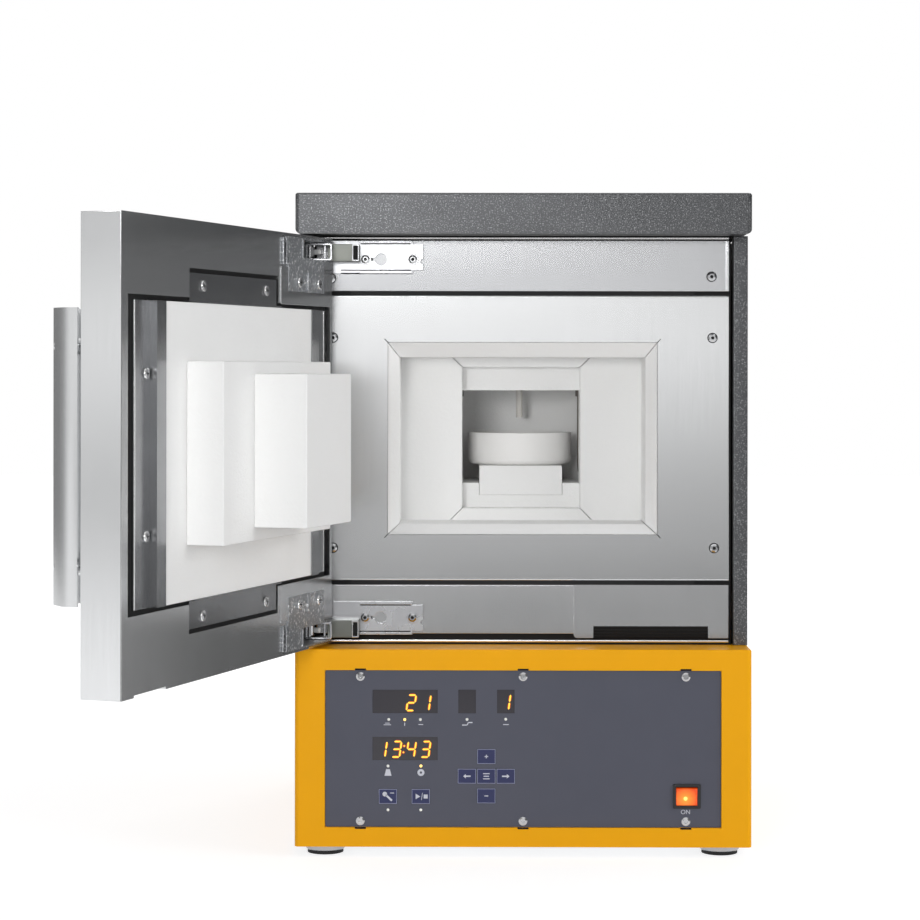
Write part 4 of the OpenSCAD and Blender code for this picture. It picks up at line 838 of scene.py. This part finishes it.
# %% Folded ends of the slab's retainers, in near-white metal as a painted highlight
retainer_low, retainer_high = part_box("slab_retainers")
rise = (retainer_low.z / MM + 0.2, retainer_high.z / MM - 0.2)
ends = [rounded_bar((x - 0.9, x + 0.9), proud(0.7, sunk=0.2), rise, 0.4) for x in (175.0, -175.0)]
keep(moved(joined(ends), SWING), "retainer_ends", "door", "bright_edge")

# %% Corner plates of the door
CORNER_PLATE = (-192.0, -84.0, 15.5, 1.5)
corners = [drawn([about(z, CORNER_PLATE)], 0.9, CUP_FACE - 0.1, 0.3) for z in (485.0, 224.0)]
keep(moved(joined(corners), SWING), "door_corner_plates", "door", "stainless")
print("hinges:", len(ARM_Z), "with", len(PLATE_SCREWS) + len(WING_SCREWS), "screws")

# %% [markdown]
# The door's screws have pan heads with a cross recess: four on the hinge wings, eight on the brackets and
# retainers. Each head is a rounded disc in near-white metal, which paints its glint brighter, and its recess
# is a thin black cross laid on it, painted shade in place of a hollow.

# %% Cross-headed screws
def cross(x, z, reach, width):
    half = width / 2
    return [(x - half, z - reach), (x + half, z - reach), (x + half, z - half), (x + reach, z - half),
            (x + reach, z + half), (x + half, z + half), (x + half, z + reach), (x - half, z + reach),
            (x - half, z + half), (x - reach, z + half), (x - reach, z - half), (x - half, z - half)]


# Each screw is its place, how far its seat stands above the door's inner face, and how tall its head is
DOOR_SCREWS = [(x, z, 1.2, 2.4) for x, z in WING_SCREWS]
DOOR_SCREWS += [(x, z, 0.0, 1.7) for x in (62.2, -54.8) for z in (228.8, 479.4)]
DOOR_SCREWS += [(x, z, 0.0, 1.7) for x in (157.1, -157.1) for z in (295.25, 413.05)]
HEAD_RADIUS = 4.3
heads, recess_shades = [], []
for x, z, above, tall in DOOR_SCREWS:
    heads.append(rod(at(x, CUP_FACE + above, z), at(x, CUP_FACE + above + tall, z), HEAD_RADIUS, 0.9))
    recess_shades.append(drawn([cross(x, z, 2.4, 0.9)], 0.14, CUP_FACE + above + tall - 0.1))
keep(moved(joined(heads), SWING), "door_screw_heads", "door", "bright_edge")
keep(moved(joined(recess_shades), SWING), "door_screw_recess_shades", "door", "black_steel", angle=0)

# %% [markdown]
# The front's own screws are CAD solids. A dark ring is the painted shadow round each head, and a dark disc
# the painted shade in its recess.

# %% Shadows of the front's own screws
rail_low, rail_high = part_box("hinge_rail")
# Half the front's width, the rail's lower edge and the height of the opening's middle, in millimetres
half, low, mouth = rail_high.x / MM, rail_low.z / MM, 354.2
FRONT_SCREWS = [(half - 15.4, low + 12.8), (half - 14.5, mouth + 89.6), (half - 13.0, mouth - 92.9),
                (-half + 12.9, low + 11.0), (-half + 14.7, mouth + 89.6), (-half + 14.7, mouth - 93.1)]
shadows = []
for x, z in FRONT_SCREWS:
    shadows.append(drawn([ring(x, z, 4.5), ring(x, z, 3.6)], PRINT, 39.12))
    shadows.append(drawn([ring(x, z, 1.6)], PRINT, 38.4))
keep(joined(shadows), "front_screw_shadows", "furnace_body", "black_steel", angle=0)

# %% [markdown]
# A seven-segment digit is seven slender hexagons that lean to the right. Each lit digit is listed by the
# letters of its segments, from the top bar a round to the middle bar g. A wider, dim copy behind gives the
# red halo that a lit digit throws on its dark lens.

# %% Digits
LENS_FACE = 1.7
DIGIT_W, DIGIT_H, STROKE, LEAN = 6.5, 13.2, 1.3, math.tan(math.radians(8))
HALO_MORE = 1.3
SEGMENTS = {"1": "bc", "2": "abged", "3": "abgcd", "4": "fgbc"}


def segment_points(letter, x, z, stroke):
    half_w, half_h = DIGIT_W / 2, DIGIT_H / 2
    ends = {
        "a": (-half_w, half_h, half_w, half_h), "d": (-half_w, -half_h, half_w, -half_h),
        "g": (-half_w, 0, half_w, 0), "f": (-half_w, 0, -half_w, half_h), "b": (half_w, 0, half_w, half_h),
        "e": (-half_w, -half_h, -half_w, 0), "c": (half_w, -half_h, half_w, 0),
    }[letter]
    start, end = Vector(ends[:2]), Vector(ends[2:])
    along = (end - start).normalized()
    side = Vector((-along.y, along.x)) * stroke / 2
    start += along * 0.3
    end -= along * 0.3
    nib = along * stroke / 2
    points = [start, start + nib - side, end - nib - side, end, end - nib + side, start + nib + side]
    return [(x + p.x + p.y * LEAN, z + p.y) for p in points]


lit = [("2", -95.4, 131.7), ("1", -82.8, 131.7), ("1", -14.8, 132.4),
       ("1", -120.2, 92.0), ("3", -107.8, 92.0), ("4", -95.4, 92.0), ("3", -83.0, 92.0)]
for name, stroke, depth, finish in (
    ("display_digits", STROKE, LENS_FACE - 0.1, "digit"),
    ("display_halos", STROKE + HALO_MORE, LENS_FACE - 0.04, "digit_halo"),
):
    marks = []
    for figure, x, z in lit:
        for letter in SEGMENTS[figure]:
            marks.append(drawn([segment_points(letter, x, z, stroke)], PRINT, depth))
    for z in (89.4, 94.8):
        marks.append(drawn([ring(-101.7 + (z - 92) * LEAN, z, stroke / 2, 10)], PRINT, depth))
    keep(joined(marks), name, "furnace_body", finish, angle=0)
print("digits lit:", "".join(row[0] for row in lit))

# %% [markdown]
# The foil is cut out a little at each of its screws, and the cut lies in shadow.

# %% Shadowed notches round the panel's screws
panel_low, panel_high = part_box("control_panel")
notches = []
for z in (panel_high.z / MM + 1.0, panel_low.z / MM - 1.0):
    for x in (-138.8, 0.0, 138.8):
        notches.append(drawn([rectangle(x, z, 9.2, 1.5)], PRINT, 1.2))
keep(joined(notches), "panel_notches", "furnace_body", "black_steel", angle=0)

# %% [markdown]
# Each key is a navy field with a thin pale frame and a plain symbol. The symbols are generic: arrows, plus
# and minus, three lines for a list, a spanner for setup, and a triangle over a square for start and stop.

# %% Key frames and symbols
KEY_W, KEY_H = 15.4, 12.4
KEY_FACE = 1.3
PAD_X, PAD_Z, STEP_X, STEP_Z = -31.3, 69.2, 16.6, 16.8
KEYS = {
    "key_program": (PAD_X, PAD_Z), "key_left": (PAD_X - STEP_X, PAD_Z), "key_right": (PAD_X + STEP_X, PAD_Z),
    "key_plus": (PAD_X, PAD_Z + STEP_Z), "key_minus": (PAD_X, PAD_Z - STEP_Z),
    "key_setup": (-115.3, 51.8), "key_start_stop": (-87.2, 51.8),
}


def arrow(x, z, way):
    points = [(3.2, 0), (0.9, 1.9), (0.9, 0.6), (-3.2, 0.6), (-3.2, -0.6), (0.9, -0.6), (0.9, -1.9)]
    turned = [(x + way * px, z + pz) for px, pz in points]
    return turned if way < 0 else list(reversed(turned))


def key_symbols(name, x, z):
    if name == "key_plus":
        return [rectangle(x, z, 3.0, 0.8), rectangle(x, z, 0.8, 3.0)]
    if name == "key_minus":
        return [rectangle(x, z, 3.2, 0.8)]
    if name == "key_left":
        return [arrow(x, z, -1)]
    if name == "key_right":
        return [arrow(x, z, 1)]
    if name == "key_program":
        return [rectangle(x, z + 2.2 - 2.2 * row, 5.6 - row % 2, 0.8) for row in range(3)]
    if name == "key_setup":
        head = ring(x - 2.6, z + 2.0, 2.0, 16)
        return [head, bar(x - 1.6, z + 1.2, x + 3.4, z - 3.6, 1.7), rectangle(x + 3.6, z + 2.9, 3.4, 0.7)]
    triangle = [(x - 4.4, z - 2.4), (x - 0.4, z), (x - 4.4, z + 2.4)]
    return [triangle, bar(x + 0.6, z - 3.0, x + 1.4, z + 3.0, 0.5), rectangle(x + 4.2, z, 3.4, 3.4)]


for name, (x, z) in KEYS.items():
    frame_line = drawn([rectangle(x, z, KEY_W, KEY_H), rectangle(x, z, KEY_W - 0.9, KEY_H - 0.9)],
                       PRINT, KEY_FACE - PRINT)
    keep(frame_line, name + "_frame", name + "_cap", "print_pale", angle=0)
    marks = [drawn([points], PRINT, KEY_FACE - PRINT) for points in key_symbols(name, x, z)]
    keep(joined(marks), name + "_symbol", name + "_cap", "print_white", angle=0)
print("keys marked:", len(KEYS))

# %% [markdown]
# The lamps on the foil are small round lenses. Two of them are lit, and the others have a faint painted
# glow. Below some stand tiny plain signs.

# %% Lamps and signs
PANEL_FACE = 1.5
LAMPS = [(-114.6, 117.4), (-101.0, 117.4), (-87.6, 117.4), (-47.8, 117.5), (-14.8, 117.8),
         (-115.2, 77.7), (-87.1, 77.8), (-115.2, 40.3), (-87.2, 40.3)]
LIT_LAMPS = (1, 6)
LAMP_RADIUS, LAMP_DEPTH = 1.2, 1.45
domes = {True: [], False: []}
for number, (x, z) in enumerate(LAMPS):
    bpy.ops.mesh.primitive_uv_sphere_add(segments=20, ring_count=10, radius=LAMP_RADIUS * MM,
                                         location=at(x, LAMP_DEPTH, z))
    dome = active()
    dome.scale = (1, 0.35, 1)
    domes[number in LIT_LAMPS].append(dome)
keep(joined(domes[True]), "lamp_domes_lit", "furnace_body", "lamp_lit", angle=60)
keep(joined(domes[False]), "lamp_domes", "furnace_body", "lamp", angle=60)

signs = [
    [rectangle(-115.8, 112.9, 6.2, 0.6)], [rectangle(-115.8, 114.3, 4.0, 0.6)],
    [rectangle(-101.0, 113.4, 0.7, 2.6)],
    [rectangle(-87.2, 113.2, 4.0, 0.7)],
    [bar(-52.0, 112.8, -47.8, 112.8, 0.9)], [bar(-47.8, 112.8, -46.6, 115.0, 0.9)],
    [bar(-46.6, 115.0, -43.2, 115.0, 0.9)],
    [rectangle(-14.6, 113.3, 5.0, 0.7)],
    [[(-118.2, 69.4), (-112.2, 69.4), (-113.6, 75.0), (-116.8, 75.0)]],
    [ring(-87.1, 72.2, 3.0), ring(-87.1, 72.2, 1.0)],
]
marks = [drawn(outlines, PRINT, PANEL_FACE - PRINT) for outlines in signs]
keep(joined(marks), "panel_signs", "furnace_body", "print_white", angle=0)

# %% [markdown]
# The word below the rocker is plain lettering, made as a text object and turned into a mesh before it is
# placed.

# %% Lettering under the rocker
bpy.ops.object.text_add(location=(0, 0, 0))
word = active()
word.data.body = "ON"
word.data.size = 5.2 * MM
word.data.align_x = "CENTER"
word.data.extrude = PRINT / 2 * MM
choose(word)
bpy.ops.object.convert(target="MESH")
word = active()
below_rocker = Matrix.Translation(at(138.6, PANEL_FACE - PRINT / 2, 37.3)) @ UPRIGHT
keep(moved(word, below_rocker), "rocker_word", "furnace_body", "print_white", angle=0)

# %% [markdown]
# ## Studio
#
# The floor is a plain pale sheet and the world is white to the camera and in reflections, as in a cut-out
# product shot. A small softbox stands just left of the camera, and its light reaches the back of the
# chamber. A wide, weak lamp fills from the right, and another lights the rear, which shows when the camera
# goes round.

# %% World
world = bpy.data.worlds.new("studio")
bpy.context.scene.world = world
world.use_nodes = True
tree = world.node_tree
tree.nodes.clear()
direction = add(tree, "ShaderNodeTexCoord").outputs["Generated"]
parts = add(tree, "ShaderNodeSeparateXYZ", {0: direction}).outputs
rise = spread(tree, parts["Z"], -0.3, 0.8, 0.0, 1.0)
air = mixed(tree, rise, (0.42, 0.42, 0.42, 1.0), (0.66, 0.665, 0.68, 1.0))
light = add(tree, "ShaderNodeBackground", {"Color": air, "Strength": 0.6})
seen = add(tree, "ShaderNodeBackground", {"Color": (1.0, 1.0, 1.0, 1.0), "Strength": 1.0})


def shows_white(tree):
    path = add(tree, "ShaderNodeLightPath").outputs
    looks = calc(tree, "MAXIMUM", path["Is Camera Ray"], path["Is Glossy Ray"])
    return calc(tree, "MAXIMUM", looks, path["Is Transmission Ray"])


either = add(tree, "ShaderNodeMixShader", {0: shows_white(tree), 1: light.outputs[0], 2: seen.outputs[0]})
show(tree, either, "ShaderNodeOutputWorld")

# %% Floor
bpy.ops.mesh.primitive_plane_add(size=14, location=(0, 0, -0.0002))
floor = active()
floor.name = "floor"
floor_finish = bpy.data.materials.new("floor")
floor_finish.use_nodes = True
tree = floor_finish.node_tree
tree.nodes.clear()
seen_white = shows_white(tree)
tone = mixed(tree, seen_white, (0.7, 0.7, 0.7, 1.0), (0.56, 0.56, 0.56, 1.0))
matt = add(tree, "ShaderNodeBsdfDiffuse", {"Color": tone})
lift = add(tree, "ShaderNodeEmission", {"Color": (1.0, 1.0, 1.0, 1.0)})
away = add(tree, "ShaderNodeVectorMath", {0: object_place(tree)}, operation="LENGTH").outputs["Value"]
level = spread(tree, away, 0.5, 1.8, 0.72, 0.88)
tree.links.new(calc(tree, "MULTIPLY", seen_white, level), lift.inputs["Strength"])
total = add(tree, "ShaderNodeAddShader", {0: matt.outputs[0], 1: lift.outputs[0]})
show(tree, total)
floor.data.materials.append(floor_finish)


# %% Lamps of the studio
def soft_lamp(name, place, target, side, power):
    data = bpy.data.lights.new(name, "AREA")
    data.shape = "RECTANGLE"
    data.size = data.size_y = side
    data.energy = power
    lamp = new_object(name, data)
    lamp.location = place
    lamp.rotation_euler = (Vector(target) - Vector(place)).to_track_quat("-Z", "Y").to_euler()
    # Reflections show the cards below, not the lamps
    lamp.visible_glossy = False


soft_lamp("key_lamp", place=(-0.54, -2.5, 0.56), target=(0.0, -0.2, 0.36), side=0.5, power=18.5)
soft_lamp("fill_lamp", place=(2.4, -1.2, 0.9), target=(-0.2, -0.3, 0.35), side=1.6, power=24)
soft_lamp("rear_lamp", place=(0.7, 2.7, 1.3), target=(0.0, 0.2, 0.3), side=1.6, power=26)

# %% [markdown]
# A photographer shapes the reflections of steel with cards. A tall one behind the camera is bright at the
# height of a lit softbox, dim just above the floor, and fades to the right. A small bright one stands
# higher. Dark ones at the right and left keep the door's inside dark, and a low one lies in front of the
# furnace. A small flag before the base is grey towards the door and clear from its own back. The cards are
# seen only in reflections.

# %% Reflection cards
def card(name, width, height, matrix):
    bpy.ops.mesh.primitive_plane_add(size=1)
    plane = active()
    plane.name = name
    plane.data.transform(Matrix.Diagonal((width, height, 1, 1)))
    plane.matrix_world = matrix
    plane.visible_camera = False
    plane.visible_diffuse = False
    plane.visible_shadow = False
    finish = bpy.data.materials.new(name)
    finish.use_nodes = True
    plane.data.materials.append(finish)
    finish.node_tree.nodes.clear()
    return finish.node_tree


def card_glow(tree, strength):
    show(tree, add(tree, "ShaderNodeEmission", {"Strength": strength}))


CARD_MIDDLE = 1.45
tree = card("front_card", 8.0, 3.2, Matrix.Translation((0, -2.9, CARD_MIDDLE)) @ UPRIGHT)
where = add(tree, "ShaderNodeSeparateXYZ", {0: object_place(tree)}).outputs
height = calc(tree, "ADD", where["Y"], CARD_MIDDLE)
# The brightness up the card, from the floor to its top
profile = add(tree, "ShaderNodeFloatCurve", {"Value": spread(tree, height, -0.2, 1.8, 0.0, 1.0)})
curve = profile.mapping.curves[0]
LEVELS = [(0.03, 0.4), (0.15, 0.36), (0.25, 0.47), (0.35, 0.72), (0.43, 0.84), (0.535, 0.9), (0.625, 0.5),
          (0.72, 0.36), (1.1, 0.36)]
for place_on, level in LEVELS:
    curve.points.new((place_on + 0.2) / 2.0, level)
curve.points[0].location = (0.0, 0.43)
curve.points[-1].location = (1.0, 0.4)
profile.mapping.update()
across = spread(tree, where["X"], 0.4, 1.8, 1.0, 0.15)
across = calc(tree, "MULTIPLY", across, spread(tree, where["X"], -3.0, -1.5, 0.84, 1.0))
card_glow(tree, calc(tree, "MULTIPLY", calc(tree, "MULTIPLY", profile.outputs[0], across), 1.5))

# %% Plain cards and the flag
facing_left = Matrix.Rotation(math.radians(90), 4, "Z") @ UPRIGHT
for name, width, tall, place, turn, strength in (
    ("upper_card", 1.2, 0.44, (-0.66, -2.85, 1.0), UPRIGHT, 9.5),
    ("right_card", 7.0, 3.2, (2.9, 0.2, CARD_MIDDLE), facing_left, 0.2),
    ("left_card", 4.0, 3.2, (-3.0, 1.0, CARD_MIDDLE), facing_left, 0.25),
    ("low_card", 2.1, 1.9, (0.45, -1.95, 0.001), Matrix.Identity(4), 0.27),
):
    card_glow(card(name, width, tall, Matrix.Translation(place) @ turn), strength)

# The small grey flag keeps the orange base out of the door's lower flange
tree = card("base_flag", 0.46, 0.192, Matrix.Translation((0.02, -0.236, 0.098)) @ UPRIGHT)
dim = add(tree, "ShaderNodeEmission", {"Strength": 0.11})
clear = add(tree, "ShaderNodeBsdfTransparent")
behind = add(tree, "ShaderNodeNewGeometry").outputs["Backfacing"]
show(tree, add(tree, "ShaderNodeMixShader", {0: behind, 1: dim.outputs[0], 2: clear.outputs[0]}))

bpy.context.scene.view_settings.view_transform = "Standard"
